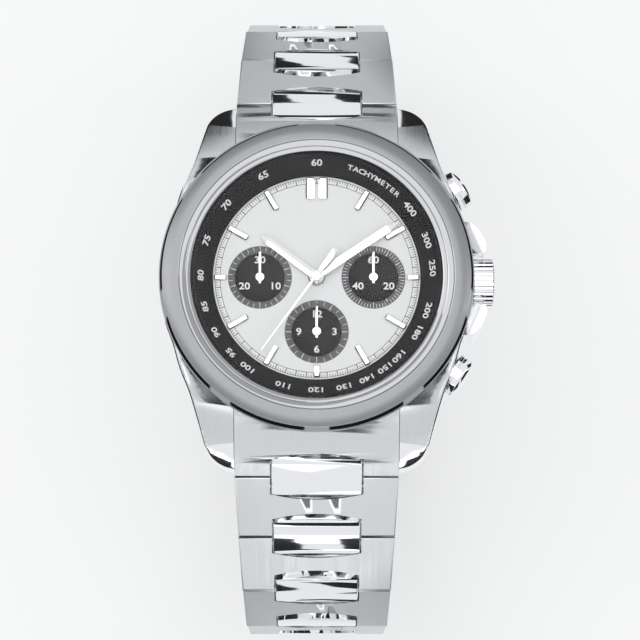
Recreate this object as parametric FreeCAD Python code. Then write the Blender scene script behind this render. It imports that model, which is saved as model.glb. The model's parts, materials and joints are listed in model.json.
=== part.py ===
import FreeCAD, Part
import math
import os

# Chronograph wristwatch on a steel bracelet, closed as worn. Millimetres.
# Origin: centre of the case back's outer face. +Z out of the dial, +Y to 12 o'clock, +X to the crown.

V = FreeCAD.Vector
os.makedirs("parts", exist_ok=True)

# ---------------------------------------------------------------- driving dimensions
CASE_R = 21.0                 # half width of the case across 3 and 9 o'clock
DRUM_R = 20.4                 # round body that the bezel sits on
LUG_WALL_R = 19.6             # case wall between the lugs
LUG_GAP = 22.0                # strap width
LUG_TIP_Y = 24.8              # half of the lug-to-lug length
CAVITY_R = 16.7
BACK_R = 18.8                 # case back
CASE_Z0, CASE_TOP, DRUM_TOP = 1.0, 9.8, 10.6
LUG_ARC_R = 27.6              # radius of the lugs' falling top
LUG_ARC_Y = 8.0               # where that fall starts
LUG_FLANK = ((18.2, 12.0), (17.0, 15.0), (16.0, 18.2), (15.1, 21.4))  # plan of a lug's outer side
AXIS_Z = 6.4                  # height of the stem and of both pushers
PUSHER_ANGLES = (34.0, -34.0)
RUN = 0.05                    # running clearance of a small shaft
CROWN_R, CROWN_X, FLUTES = 3.2, 20.85, 24   # radius, inner face and grooves of the crown
PUSHER_NECK_R, PUSHER_CAP_R = 2.25, 2.85
SEAT_GAP = 0.1                # clearance round a pusher in its seat
LUG_TIP_MID = (14.0, 23.4)    # plan point halfway round a lug's end
TOP_ROUND = 0.5               # radius along the case's upper edge

DIAL_R, DIAL_Z0, DIAL_Z1 = 14.3, 9.4, 9.8
SUB_R = 4.3
SECONDS_AT = (7.5, 0.0)       # running seconds, also the fourth arbor
MINUTES_AT = (-7.5, 0.0)      # chronograph minute counter
HOURS_AT = (0.0, -7.3)        # chronograph hour counter
HOUR_HAND_DEG = 307.0         # clockwise from 12 o'clock, at rest
MINUTE_HAND_DEG = 56.0
CHRONO_HAND_DEG = 216.0

PITCH = 8.2                   # bracelet pivot to pivot
HALF_T = 1.5                  # half thickness of a link
PIN_R = 0.5
FIRST_PIVOT = (23.6, 2.2)     # Y and Z of the first bracelet pivot
SPRING_BAR = (20.9, 2.9)      # Y and Z of the spring bars
END_TILT = {12: 17.0, 6: 15.0}
LINK_TILTS = {
    12: (25.0, 43.5, 64.0, 88.0, 114.0, 142.0, 168.0),
    6: (22.0, 36.0, 58.0, 84.0, 112.0, 142.0, 168.0),
}
SEAM_WIDTHS = (21.9, 21.0, 20.1, 19.4, 18.8, 18.4, 18.1, 18.0)
CENTRE_SHARE = 0.28           # half width of a centre link over the seam's width


# ---------------------------------------------------------------- shape helpers
def disc(r, z0, z1, at=(0.0, 0.0)):
    """Upright cylinder."""
    return Part.makeCylinder(r, z1 - z0, V(at[0], at[1], z0))


def ring(outer, inner, z0, z1, at=(0.0, 0.0)):
    """Upright tube."""
    return disc(outer, z0, z1, at).cut(disc(inner, z0 - 1, z1 + 1, at))


def closed_wire(points, place):
    """Closed wire; a point given as (via, end) is reached by an arc through via."""
    edges = []
    here = points[0]
    for item in list(points[1:]) + [points[0]]:
        if isinstance(item[0], tuple):
            via, end = item
            edges.append(Part.Arc(place(*here), place(*via), place(*end)).toShape())
        else:
            end = item
            edges.append(Part.makeLine(place(*here), place(*end)))
        here = end
    return Part.Wire(edges)


def turned(profile, at=(0.0, 0.0)):
    """Solid of revolution from (radius, height) points about an upright axis."""
    wire = closed_wire(profile, lambda r, z: V(at[0] + r, at[1], z))
    return Part.Face(wire).revolve(V(at[0], at[1], 0), V(0, 0, 1), 360)


def dome(r, z_edge, z_top):
    """Arc of a spherical cap from its edge to the axis, as a (via, end) point of a profile."""
    rise = z_top - z_edge
    ball = (r * r + rise * rise) / (2 * rise)
    half = r / 2
    return (half, z_top - ball + math.sqrt(ball * ball - half * half)), (0.0, z_top)


def plate(points, z0, z1):
    """Flat plate from an outline seen from above."""
    wire = closed_wire(points, lambda x, y: V(x, y, z0))
    return Part.Face(wire).extrude(V(0, 0, z1 - z0))


def slab(points, x0, x1):
    """Solid from a side outline in Y and Z, between two X planes."""
    wire = closed_wire(points, lambda y, z: V(x0, y, z))
    return Part.Face(wire).extrude(V(x1 - x0, 0, 0))


def rod(r, start, end):
    """Cylinder between two points."""
    span = V(*end) - V(*start)
    return Part.makeCylinder(r, span.Length, V(*start), span)


def radial(r, a_deg, r0, r1, z=AXIS_Z):
    """Cylinder along a radius of the case."""
    c, s = math.cos(math.radians(a_deg)), math.sin(math.radians(a_deg))
    return rod(r, (r0 * c, r0 * s, z), (r1 * c, r1 * s, z))


def turn(shape, degrees, at=(0.0, 0.0), axis=V(0, 0, 1)):
    """Copy of a shape turned about an upright axis, anticlockwise from the dial side."""
    out = shape.copy()
    out.rotate(V(at[0], at[1], 0), axis, degrees)
    return out


def both_ends(shape):
    """The shape at 12 o'clock and its twin at 6 o'clock."""
    return [shape, turn(shape, 180)]


def join(shapes):
    """Boolean union."""
    out = shapes[0]
    for shape in shapes[1:]:
        out = out.fuse(shape)
    return out.removeSplitter()


def cut_all(shape, tools):
    """Subtract each tool."""
    for tool in tools:
        shape = shape.cut(tool)
    return shape


def round_edges(shape, radius, wanted):
    """Fillet the edges that the test picks."""
    edges = [e for e in shape.Edges if wanted(e)]
    return shape.makeFillet(radius, edges) if edges else shape


def write(name, shapes):
    """One STEP file for one node; its pieces stay separate solids."""
    solids = [solid for shape in shapes for solid in shape.Solids]
    body = solids[0] if len(solids) == 1 else Part.makeCompound(solids)
    body.exportStep("parts/" + name + ".step")


# ---------------------------------------------------------------- case
def lug_outline():
    """Plan of the case: round at 3 and 9 o'clock, drawn in to the four lugs."""
    start = V(math.sqrt(CASE_R ** 2 - LUG_ARC_Y ** 2), LUG_ARC_Y, 0)
    side = [start] + [V(x, y, 0) for x, y in LUG_FLANK]
    tip = Part.Arc(side[-1], V(*LUG_TIP_MID, 0), V(11.0, LUG_TIP_Y, 0)).toShape()
    leave = tip.tangentAt(tip.FirstParameter)
    flank = Part.BSplineCurve()
    flank.interpolate(Points=side, InitialTangent=V(-start.y, start.x, 0), FinalTangent=leave)
    quarter = [flank.toShape(), tip]
    edges = []
    for fx, fy in ((1, 1), (-1, 1), (1, -1), (-1, -1)):
        frame = FreeCAD.Matrix()
        frame.scale(V(fx, fy, 1))
        edges += [e.transformGeometry(frame) for e in quarter]
    for s in (1, -1):
        edges.append(Part.makeLine(V(-11.0, s * LUG_TIP_Y, 0), V(11.0, s * LUG_TIP_Y, 0)))
        arc = Part.Arc(V(s * start.x, -start.y, 0), V(s * CASE_R, 0, 0), V(s * start.x, start.y, 0))
        edges.append(arc.toShape())
    return Part.Face(Part.Wire(Part.__sortEdges__(edges)))


def lug_height(y):
    """Height of the case's top surface at a distance from the middle."""
    fall = max(abs(y) - LUG_ARC_Y, 0.0)
    return CASE_TOP - LUG_ARC_R + math.sqrt(LUG_ARC_R ** 2 - fall ** 2)


def case_side():
    """Side outline of the case with its lugs."""
    tip, mid = LUG_TIP_Y + 0.2, 17.0
    foot = BACK_R + 0.2
    return [
        (-tip, -0.3), (-tip, lug_height(tip)),
        ((-mid, lug_height(mid)), (-LUG_ARC_Y, CASE_TOP)),
        (LUG_ARC_Y, CASE_TOP),
        ((mid, lug_height(mid)), (tip, lug_height(tip))),
        (tip, -0.3), (foot, CASE_Z0), (-foot, CASE_Z0),
    ]


def crown_guard(side):
    """Horn beside the crown."""
    horn = plate([(18.5, 3.2), (22.4, 3.5), (22.6, 4.6), ((22.0, 6.0), (20.6, 7.6)), (18.5, 7.8)], 2.4, 9.5)
    return horn if side > 0 else horn.mirror(V(0, 0, 0), V(0, 1, 0))


def case_middle():
    """Mid-case with lugs, crown guards, bores for the tubes and seats for crown and pushers."""
    body = lug_outline().extrude(V(0, 0, 14))
    body.translate(V(0, 0, -1))
    body = body.common(slab(case_side(), -30, 30))
    rim = [e for e in body.Edges if e.BoundBox.ZMin > 3.9 and not isinstance(e.Curve, Part.Line)]
    body = body.makeFillet(TOP_ROUND, rim)
    body = join([body, disc(DRUM_R, CASE_Z0, DRUM_TOP), crown_guard(1), crown_guard(-1)])
    gap = Part.makeBox(LUG_GAP, 30, 20, V(-LUG_GAP / 2, 0, -3)).cut(disc(LUG_WALL_R, -4, 19))
    cuts = both_ends(gap)
    cuts.append(disc(CAVITY_R, -1, 12))
    cuts.append(ring(17.9, 17.2, 0.5, 1.5))
    cuts.append(radial(1.6, 0, 10, 30))
    cuts.append(radial(3.65, 0, 20.7, 30))
    for a in PUSHER_ANGLES:
        cuts.append(radial(1.3, a, 10, 30))
        cuts.append(radial(PUSHER_NECK_R + SEAT_GAP, a, 19.4, 30))
        cuts.append(radial(PUSHER_CAP_R + SEAT_GAP, a, 20.3, 30))
    for y in (SPRING_BAR[0], -SPRING_BAR[0]):
        cuts.append(rod(0.5, (-12.5, y, SPRING_BAR[1]), (12.5, y, SPRING_BAR[1])))
    return cut_all(body, cuts)


BEZEL = [(17.0, 10.65), (17.0, 12.62), (16.62, 12.62), (16.62, 12.72), (18.2, 12.9), (20.4, 12.35),
         (20.85, 11.8), (20.85, 10.65)]
CRYSTAL = [(0.0, 12.0), (16.55, 12.0), (16.55, 12.75), (16.2, 13.0), dome(16.2, 13.0, 13.7)]
TACHY_RING = [(13.7, 9.85), (13.7, 10.05), (16.05, 11.85), (16.6, 11.85), (16.6, 9.85)]
CASE_BACK = [(13.0, 0.0), (18.3, 0.0), (BACK_R, 0.4), (BACK_R, 0.95), (16.6, 0.95), (16.6, 3.0),
             (14.8, 3.0), (14.8, 1.7), (13.0, 1.7)]
BACK_CRYSTAL_R = 12.7


def gaskets():
    """Crystal gasket, case-back gasket and the back crystal's gasket."""
    return [
        ring(17.0, 16.55, 12.0, 12.6),
        ring(17.8, 17.3, 0.95, 1.5),
        ring(13.0, BACK_CRYSTAL_R, 0.1, 1.7),
    ]


def case_tubes():
    """Tubes pressed into the case for the crown and both pushers."""
    tubes = [radial(1.6, 0, 16.9, 21.9).cut(radial(1.1, 0, 10, 30))]
    for a in PUSHER_ANGLES:
        tubes.append(radial(1.3, a, 16.9, 19.2).cut(radial(0.85, a, 10, 30)))
    return tubes


# ---------------------------------------------------------------- dial and hands
def dial():
    """Dial plate with its windows for the three registers and its centre hole."""
    cuts = [disc(SUB_R, 9, 10, at) for at in (SECONDS_AT, MINUTES_AT, HOURS_AT)]
    return cut_all(disc(DIAL_R, DIAL_Z0, DIAL_Z1), cuts + [disc(1.1, 9, 10)])


def subdials():
    """The three recessed register plates."""
    return [ring(SUB_R, 0.3, DIAL_Z0, DIAL_Z1 - 0.12, at) for at in (SECONDS_AT, MINUTES_AT, HOURS_AT)]


def hour_markers():
    """Applied batons: a pair at 12, short ones by the registers, long ones elsewhere."""
    spans = {3: (11.9, 13.6), 6: (11.7, 13.5), 9: (11.9, 13.6)}
    out = []
    for hour in range(12):
        inner, outer = spans.get(hour, (10.5, 13.6))
        offsets = (-0.85, 0.85) if hour == 0 else (0.0,)
        half = 0.6 if hour == 0 else 0.43
        for mid in offsets:
            bar = plate([(mid - half, inner), (mid + half, inner), (mid + half, outer), (mid - half, outer)],
                        DIAL_Z1, DIAL_Z1 + 0.35)
            top = [e for e in bar.Edges if e.BoundBox.ZMin > DIAL_Z1 + 0.3]
            out.append(turn(bar.makeChamfer(0.12, top), -30 * hour))
    return out


def hand(length, root_half, tip_half, tail, z0, z1, boss_r, bore_r, clock_deg, at=(0.0, 0.0)):
    """Hand with a boss, pointing at a clock angle."""
    blade = plate([(-root_half, -tail), (root_half, -tail), (root_half, length * 0.86),
                   (tip_half, length), (-tip_half, length), (-root_half, length * 0.86)], z0, z1)
    blade.translate(V(at[0], at[1], 0))
    body = join([blade, disc(boss_r, z0 - 0.05, z1 + 0.05, at)]).cut(disc(bore_r, 0, 20, at))
    return turn(body, -clock_deg, at)


def chrono_hand():
    """Central chronograph needle with its counterweight."""
    z0, z1 = 11.2, 11.38
    needle = plate([(-0.16, -1.5), (0.16, -1.5), (0.07, 12.4), (-0.07, 12.4)], z0, z1)
    weight = plate([(-0.42, -4.5), (0.42, -4.5), (0.3, -1.2), (-0.3, -1.2)], z0, z1)
    body = join([needle, weight, disc(0.75, z0 - 0.05, z1 + 0.07)]).cut(disc(0.18, 0, 20))
    return turn(body, -CHRONO_HAND_DEG)


def hour_hand():
    """Hour hand on the hour tube that runs over the cannon tube."""
    body = hand(9.2, 0.55, 0.12, 0, 10.35, 10.52, 1.0, 0.62, 0)
    return turn(join([body, ring(0.98, 0.62, 8.6, 10.35)]), -HOUR_HAND_DEG)


# ---------------------------------------------------------------- going train
THIRD_AT = (3.896, 2.252)
BARREL_AT = (-3.15, 5.456)
ESCAPE_AT = (8.406, -3.525)
PALLET_AT = (6.55, -5.35)
BALANCE_AT = (4.0, -8.2)
COLUMN_AT = (-9.6, -6.4)
HAMMER_AT = (-10.2, -2.2)


def gear(teeth, module, z0, z1, at, phase=0.0, holes=0):
    """Toothed wheel or pinion; phase is in tooth pitches."""
    pitch_r = teeth * module / 2
    tip, root = pitch_r + 0.85 * module, pitch_r - 1.15 * module
    step = 2 * math.pi / teeth
    points = []
    for k in range(teeth):
        for radius, share in ((root, -0.31), (tip, -0.13), (tip, 0.13), (root, 0.31)):
            a = (k + phase + share) * step
            points.append((at[0] + radius * math.cos(a), at[1] + radius * math.sin(a)))
    body = plate(points, z0, z1)
    for k in range(holes):
        a = 2 * math.pi * k / holes
        spot = (at[0] + 0.58 * root * math.cos(a), at[1] + 0.58 * root * math.sin(a))
        body = body.cut(disc(0.25 * root, z0 - 1, z1 + 1, spot))
    return body


def mesh_phase(driver_at, driver_teeth, driver_phase, at, teeth):
    """Phase that puts a gap of this gear on the driver's tooth along the line of centres."""
    line = math.atan2(at[1] - driver_at[1], at[0] - driver_at[0])
    out = (line / (2 * math.pi) * driver_teeth - driver_phase) % 1.0
    back = ((line + math.pi) / (2 * math.pi) * teeth) % 1.0
    return (back - 0.5 + out) % 1.0


THIRD_PINION = mesh_phase((0.0, 0.0), 80, 0.0, THIRD_AT, 10)
CENTRE_PINION = mesh_phase(BARREL_AT, 72, 0.0, (0.0, 0.0), 12)
FOURTH_PINION = mesh_phase(THIRD_AT, 75, 0.0, SECONDS_AT, 10)
ESCAPE_PINION = mesh_phase(SECONDS_AT, 84, 0.0, ESCAPE_AT, 7)


def centre_wheel():
    """Centre wheel, its pinion and the tube that carries the minute hand."""
    body = [gear(80, 0.1, 7.2, 7.4, (0, 0), 0.0, 5), gear(12, 0.15, 6.2, 7.2, (0, 0), CENTRE_PINION),
            disc(0.57, 6.0, 10.98)]
    return join(body).cut(disc(0.25, 5, 12))


def third_wheel():
    """Third wheel and pinion."""
    return join([gear(75, 0.1, 5.0, 5.2, THIRD_AT, 0.0, 5), gear(10, 0.1, 7.0, 7.5, THIRD_AT, THIRD_PINION),
                 disc(0.22, 4.05, 8.2, THIRD_AT)])


def fourth_wheel():
    """Fourth wheel and pinion on the running-seconds arbor."""
    return join([gear(84, 0.08, 5.55, 5.7, SECONDS_AT, 0.0, 5),
                 gear(10, 0.1, 4.9, 5.3, SECONDS_AT, FOURTH_PINION), disc(0.16, 4.05, 10.25, SECONDS_AT)])


def escape_wheel():
    """Escape wheel with leaning teeth, and its pinion."""
    teeth, tip, root = 20, 2.15, 1.55
    points = []
    for k in range(teeth):
        for radius, share in ((root, 0.0), (tip, 0.45), (tip, 0.55), (root, 0.42)):
            a = (k + share) * 2 * math.pi / teeth
            points.append((ESCAPE_AT[0] + radius * math.cos(a), ESCAPE_AT[1] + radius * math.sin(a)))
    wheel = plate(points, 6.3, 6.45)
    for k in range(4):
        a = math.pi / 2 * k
        hole_at = (ESCAPE_AT[0] + 0.85 * math.cos(a), ESCAPE_AT[1] + 0.85 * math.sin(a))
        wheel = wheel.cut(disc(0.4, 6, 7, hole_at))
    pinion = gear(7, 0.08, 5.45, 5.85, ESCAPE_AT, ESCAPE_PINION)
    return join([wheel, pinion, disc(0.12, 4.05, 8.0, ESCAPE_AT)])


def pallet_fork():
    """Lever with two pallet arms and a fork that reaches for the balance roller."""
    to_escape = math.atan2(ESCAPE_AT[1] - PALLET_AT[1], ESCAPE_AT[0] - PALLET_AT[0])
    to_balance = math.atan2(BALANCE_AT[1] - PALLET_AT[1], BALANCE_AT[0] - PALLET_AT[0])
    pieces = [disc(0.35, 6.3, 6.45, PALLET_AT), disc(0.12, 5.9, 7.8, PALLET_AT)]
    for a, length, half in ((to_escape + 1.25, 1.5, 0.11), (to_escape - 1.25, 1.5, 0.11),
                            (to_balance, 3.15, 0.13)):
        arm = plate([(0, -half), (length, -half), (length, half), (0, half)], 6.3, 6.45)
        arm.rotate(V(0, 0, 0), V(0, 0, 1), math.degrees(a))
        arm.translate(V(PALLET_AT[0], PALLET_AT[1], 0))
        pieces.append(arm)
    return join(pieces)


def balance_wheel():
    """Balance with two arms, timing weights, staff and roller."""
    x, y = BALANCE_AT
    pieces = [ring(4.2, 3.75, 4.9, 5.3, BALANCE_AT), disc(0.22, 4.05, 7.8, BALANCE_AT),
              disc(0.45, 6.25, 6.5, BALANCE_AT), disc(0.5, 4.95, 5.35, BALANCE_AT)]
    arm = plate([(x - 4, y - 0.25), (x + 4, y - 0.25), (x + 4, y + 0.25), (x - 4, y + 0.25)], 5.0, 5.2)
    pieces.append(arm.common(disc(4.0, 4, 6, BALANCE_AT)))
    for k in range(4):
        a = math.radians(45 + 90 * k)
        pieces.append(disc(0.28, 4.8, 5.4, (x + 3.92 * math.cos(a), y + 3.92 * math.sin(a))))
    return join(pieces)


def hairspring():
    """Flat spiral of half circles, clear of the staff and held by a stud at its outer end."""
    x, y = BALANCE_AT
    z0, z1, strip, gap = 5.5, 5.62, 0.05, 0.13
    outer, inner = [], []
    r, mid = 0.6, 0.0
    for k in range(16):
        s = 1 if k % 2 == 0 else -1
        for edges, radius in ((outer, r + strip), (inner, r)):
            a, b = mid - s * radius, mid + s * radius
            edges.append(Part.Arc(V(x + a, y, z0), V(x + mid, y + s * radius, z0), V(x + b, y, z0)).toShape())
        step = gap / 2
        mid, r = mid - s * step, r + step
    start = Part.makeLine(inner[0].Vertexes[0].Point, outer[0].Vertexes[0].Point)
    end = Part.makeLine(inner[-1].Vertexes[-1].Point, outer[-1].Vertexes[-1].Point)
    face = Part.Face(Part.Wire(Part.__sortEdges__(outer + inner + [start, end])))
    last = mid + r * (-1 if 16 % 2 == 0 else 1)
    stud = disc(0.16, 5.4, 7.6, (x + last, y))
    return join([face.extrude(V(0, 0, z1 - z0)), stud])


def barrel():
    """Mainspring barrel with its toothed edge and arbor."""
    return join([disc(5.15, 5.4, 7.0, BARREL_AT), gear(72, 0.15, 6.3, 6.7, BARREL_AT),
                 disc(0.5, 4.05, 8.2, BARREL_AT)])


def rotor():
    """Winding rotor: half disc with a heavy rim on a ball-bearing hub."""
    half = disc(13.8, 2.4, 2.8).common(Part.makeBox(40, 20, 5, V(-20, -20, 0)))
    rim = ring(13.8, 11.6, 2.4, 3.35).common(Part.makeBox(40, 20, 5, V(-20, -20, 0)))
    window = ring(10.6, 4.2, 2, 3).common(Part.makeBox(40, 20, 5, V(-20, -21.4, 0)))
    for a in (-60, 0, 60):
        spoke = Part.makeBox(1.6, 20, 5, V(-0.8, -20, 0))
        window = window.cut(turn(spoke, a))
    return join([half.cut(window), rim, disc(2.2, 2.1, 3.35)]).cut(disc(0.95, 1, 4))


def arbor_holes(z0, z1):
    """Pivot holes of the train."""
    wide = ((THIRD_AT, 0.22), (SECONDS_AT, 0.16), (ESCAPE_AT, 0.12), (BARREL_AT, 0.5))
    return [disc(r + RUN, z0, z1, at) for at, r in wide]


def main_plate():
    """Main plate with a skirt that the bridges stand on."""
    body = join([disc(14.3, 7.6, 9.4), ring(14.3, 13.7, 4.5, 7.6), disc(0.65, 4.5, 7.6, (-7.9, -4.6)),
                 disc(0.7, 4.5, 7.6, (9.9, 5.6))])
    cuts = arbor_holes(7, 8.3)
    cuts += [disc(0.16 + RUN, 7, 11, SECONDS_AT), disc(1.05, 8.5, 11), disc(0.62, 7, 11)]
    cuts += [disc(0.12 + RUN, 7, 7.9, PALLET_AT), disc(0.22 + RUN, 7, 7.9, BALANCE_AT)]
    cuts += [disc(0.2, 7.8, 11, MINUTES_AT), disc(0.2, 7.8, 11, HOURS_AT), radial(0.7, 0, 13, 15)]
    return cut_all(body, cuts)


def train_bridge():
    """Bridge over barrel and train, open round the balance, with the rotor's bearing post."""
    body = disc(14.3, 3.75, 4.5).cut(disc(4.9, 3, 5, BALANCE_AT))
    recess = [(4.0, -8.2), (-0.9, -8.2), (-3.0, -16), (14, -16), (9.5, -5.0), (8.9, -8.2)]
    body = body.cut(plate(recess, 3, 5))
    body = body.cut(disc(2.0, 3, 5, COLUMN_AT))
    body = join([body, disc(0.9, 2.2, 3.75)])
    cuts = arbor_holes(4, 5) + [disc(0.18 + RUN, 3.95, 5), ring(3.6, 2.4, 3.7, 3.85)]
    return cut_all(body, cuts)


def balance_cock():
    """Cock across the balance, footed on the main plate's skirt."""
    x, y = BALANCE_AT
    arm = plate([(x - 0.9, y + 0.8), (x + 0.9, y + 0.8), (x + 2.1, -13.9), (x - 1.4, -13.9)], 3.75, 4.5)
    arm = arm.common(disc(14.3, 3, 5))
    body = join([arm, disc(1.2, 3.75, 4.5, BALANCE_AT)])
    return body.cut(disc(0.22 + RUN, 4.0, 5, BALANCE_AT))


def jewels():
    """Rings of red jewels at the visible pivots."""
    out = [ring(0.62, 0.2, 3.62, 3.75, at) for at in (THIRD_AT, SECONDS_AT, ESCAPE_AT, BALANCE_AT)]
    out += [ring(0.5, 0.2, 3.62, 3.75, at) for at in ((-8.0, 2.0), (-4.6, -9.5), (9.3, 8.0))]
    return out


SCREWS_AT = ((-11.6, 4.4), (-6.2, 11.0), (3.2, 12.4), (10.6, 6.9), (12.6, -1.6), (-12.3, -3.0), (-6.4, -11.2),
             (-5.4, 0.6))


def bridge_screws():
    """Slotted bridge screws, and the two on the balance cock's foot."""
    out = []
    for at in SCREWS_AT + ((3.6, -12.7), (5.2, -12.7)):
        head = disc(0.65, 3.45, 3.75, at)
        slot = Part.makeBox(1.6, 0.18, 0.15, V(at[0] - 0.8, at[1] - 0.09, 3.4))
        out.append(head.cut(turn(slot, 37 * len(out), at)))
    return out


def movement_ring():
    """Spacer ring between movement and case, pierced for stem and pushers."""
    cuts = [radial(0.8, 0, 10, 20)] + [radial(1.0, a, 10, 20) for a in PUSHER_ANGLES]
    return cut_all(ring(16.6, 14.4, 3.05, 9.8), cuts)


def column_wheel():
    """Column wheel: six columns on a twelve-tooth ratchet."""
    pieces = [gear(12, 0.26, 4.6, 4.9, COLUMN_AT), disc(0.3, 4.55, 7.6 - RUN, COLUMN_AT),
              ring(1.1, 0.29, 4.9, 5.2, COLUMN_AT)]
    for k in range(6):
        a = math.radians(60 * k)
        post_at = (COLUMN_AT[0] + 0.82 * math.cos(a), COLUMN_AT[1] + 0.82 * math.sin(a))
        pieces.append(disc(0.24, 5.2, 6.2, post_at))
    return join(pieces)


def reset_hammer():
    """Two-armed reset hammer on its post."""
    x, y = HAMMER_AT
    arm = plate([(x - 0.5, y - 0.45), (x + 5.6, y - 1.6), (x + 6.3, y - 2.5), (x + 6.8, y - 2.2),
                 (x + 6.2, y - 0.8), (x + 0.4, y + 0.6)], 5.5, 5.9)
    return join([arm, disc(0.75, 5.5, 5.9, HAMMER_AT), disc(0.3, 4.55, 7.6 - RUN, HAMMER_AT)])


# ---------------------------------------------------------------- crown, stem and pushers
def crown():
    """Fluted crown, hollow over its tube, with a boss that grips the stem."""
    profile = [(0.52, 1.0), (1.0, 1.0), (1.0, 1.75), (1.75, 1.75), (1.75, 0.0), (2.95, 0.0), (CROWN_R, 0.25),
               (CROWN_R, 2.5), (2.85, 2.88), dome(2.85, 2.88, 3.1), (0.0, 2.2), (0.52, 2.2)]
    body = turned(profile)
    for k in range(FLUTES):
        a = 2 * math.pi * k / FLUTES
        groove = ((CROWN_R + 0.03) * math.cos(a), (CROWN_R + 0.03) * math.sin(a))
        body = body.cut(disc(0.2, 0.3, 2.4, groove))
    body.rotate(V(0, 0, 0), V(0, 1, 0), 90)
    body.translate(V(CROWN_X, 0, AXIS_Z))
    return body


def winding_stem():
    """Stem from the keyless works to the crown, with its setting groove."""
    body = rod(0.5, (9.7, 0, AXIS_Z), (23.0, 0, AXIS_Z))
    groove = rod(0.6, (11.2, 0, AXIS_Z), (11.8, 0, AXIS_Z)).cut(rod(0.34, (11, 0, AXIS_Z), (12, 0, AXIS_Z)))
    return body.cut(groove)


def pusher(a_deg):
    """Chronograph pusher: capped button on a stem, lying along a radius."""
    neck, cap = PUSHER_NECK_R, PUSHER_CAP_R
    profile = [(0.0, 15.9), (0.8, 15.9), (0.8, 20.6), (neck, 20.6), (neck, 21.6), (cap, 21.6), (cap, 23.4),
               (2.6, 23.65), dome(2.6, 23.65, 23.8)]
    body = turned(profile)
    body.rotate(V(0, 0, 0), V(0, 1, 0), 90)
    body.translate(V(0, 0, AXIS_Z))
    return turn(body, a_deg)


# ---------------------------------------------------------------- bracelet
def pivots(side):
    """Y and Z of every bracelet pivot on one side, as if on the 12 o'clock side."""
    out = [FIRST_PIVOT]
    for tilt in LINK_TILTS[side]:
        y, z = out[-1]
        a = math.radians(tilt)
        out.append((y + PITCH * math.cos(a), z - PITCH * math.sin(a)))
    return out


def place_link(shape, origin, tilt, side):
    """Move a shape from link coordinates (Y along the chain, Z outward) to the watch."""
    out = shape.copy()
    out.rotate(V(0, 0, 0), V(1, 0, 0), -tilt)
    out.translate(V(0, origin[0], origin[1]))
    return out if side == 12 else turn(out, 180)


ARM_END = 1.65                # arm end beyond its pivot
SEAM = 1.75                   # where the next frame starts
C_BACK, C_FRONT = -1.3, 4.7   # centre link's ends on its middle line
BOW = 0.75                    # how far those ends bow out
BAR = (4.8, 6.75)             # cross bar of a frame on its middle line


def bowed(half, u0, bow0, u1, bow1, w0, w1):
    """Plan between two bowed ends; a bow moves the middle of an end along the chain."""
    wire = closed_wire([(-half, u0), ((0.0, u0 + bow0), (half, u0)), (half, u1), ((0.0, u1 + bow1), (-half, u1))],
                       lambda x, u: V(x, u, w0))
    return Part.Face(wire).extrude(V(0, 0, w1 - w0))


def centre_pocket(half, w_top=2.5):
    """Room for the next centre link and its swing."""
    upper = bowed(half, BAR[1] + BOW, -BOW, 12.0, 0.01, -3.0, w_top)
    lower = Part.makeBox(2 * half, 6, 3, V(-half, BAR[1], -3.0))
    return [upper, lower]


def centre_link(width):
    """Polished, crowned centre link with the bores of both pins."""
    half = CENTRE_SHARE * width
    r = -C_BACK
    k = math.sqrt(0.5)
    side = [(0.0, -r), ((-r * k, -r * k), (C_BACK, 0.0)), (C_BACK, 1.3), ((1.7, 1.68), (C_FRONT, 1.3)),
            (C_FRONT, -r)]
    body = slab(side, -half, half)
    body = body.common(bowed(half, C_BACK + BOW, -BOW, C_FRONT - BOW, BOW, -3, 3))
    cuts = [rod(PIN_R + RUN, (-half - 1, 0, 0), (half + 1, 0, 0))]
    cuts.append(rod(PIN_R, (-half - 1, 3.3, 0), (half + 1, 3.3, 0)))
    body = cut_all(body, cuts)
    return round_edges(body, 0.22, lambda e: e.BoundBox.ZMin > 1.2 and e.BoundBox.XLength < 0.1)


def outer_frame(width, next_width):
    """Brushed H-shaped frame of a link."""
    end = PITCH + ARM_END
    k = math.sqrt(ARM_END ** 2 - HALF_T ** 2)
    low = math.radians(-33)
    side = [(SEAM, 0.0), (SEAM, HALF_T), (end, HALF_T), (end, 0.0),
            ((PITCH + ARM_END * math.cos(low), ARM_END * math.sin(low)), (PITCH + k, -HALF_T)), (2.8, -HALF_T)]
    body = slab(side, -12, 12)
    plan = plate([(-width / 2, SEAM), (width / 2, SEAM), (next_width / 2, end), (-next_width / 2, end)], -3, 3)
    body = body.common(plan)
    body = round_edges(body, 0.2, lambda e: e.BoundBox.ZMin > 1.4)
    half, next_half = CENTRE_SHARE * width + 0.12, CENTRE_SHARE * next_width + 0.12
    cuts = [bowed(half, -1.0, 0.01, BAR[0] - BOW, BOW, -3, 3)] + centre_pocket(next_half)
    cuts += [rod(PIN_R, (-12, u, 0), (12, u, 0)) for u in (3.3, PITCH)]
    return cut_all(body, cuts)


def pins(width, next_width):
    """Fixed pin of the centre link and the pivot pin of the next one."""
    out = []
    for u, w in ((3.3, width), (PITCH, next_width)):
        out.append(rod(PIN_R, (-w / 2 + 0.25, u, 0), (w / 2 - 0.25, u, 0)))
    return out


def link(side, index):
    """One bracelet link where it lies: frame, centre link and pins."""
    width, next_width = SEAM_WIDTHS[index], SEAM_WIDTHS[index + 1]
    parts = [outer_frame(width, next_width), centre_link(width)] + pins(width, next_width)
    origin, tilt = pivots(side)[index], LINK_TILTS[side][index]
    return [place_link(p, origin, tilt, side) for p in parts]


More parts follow.
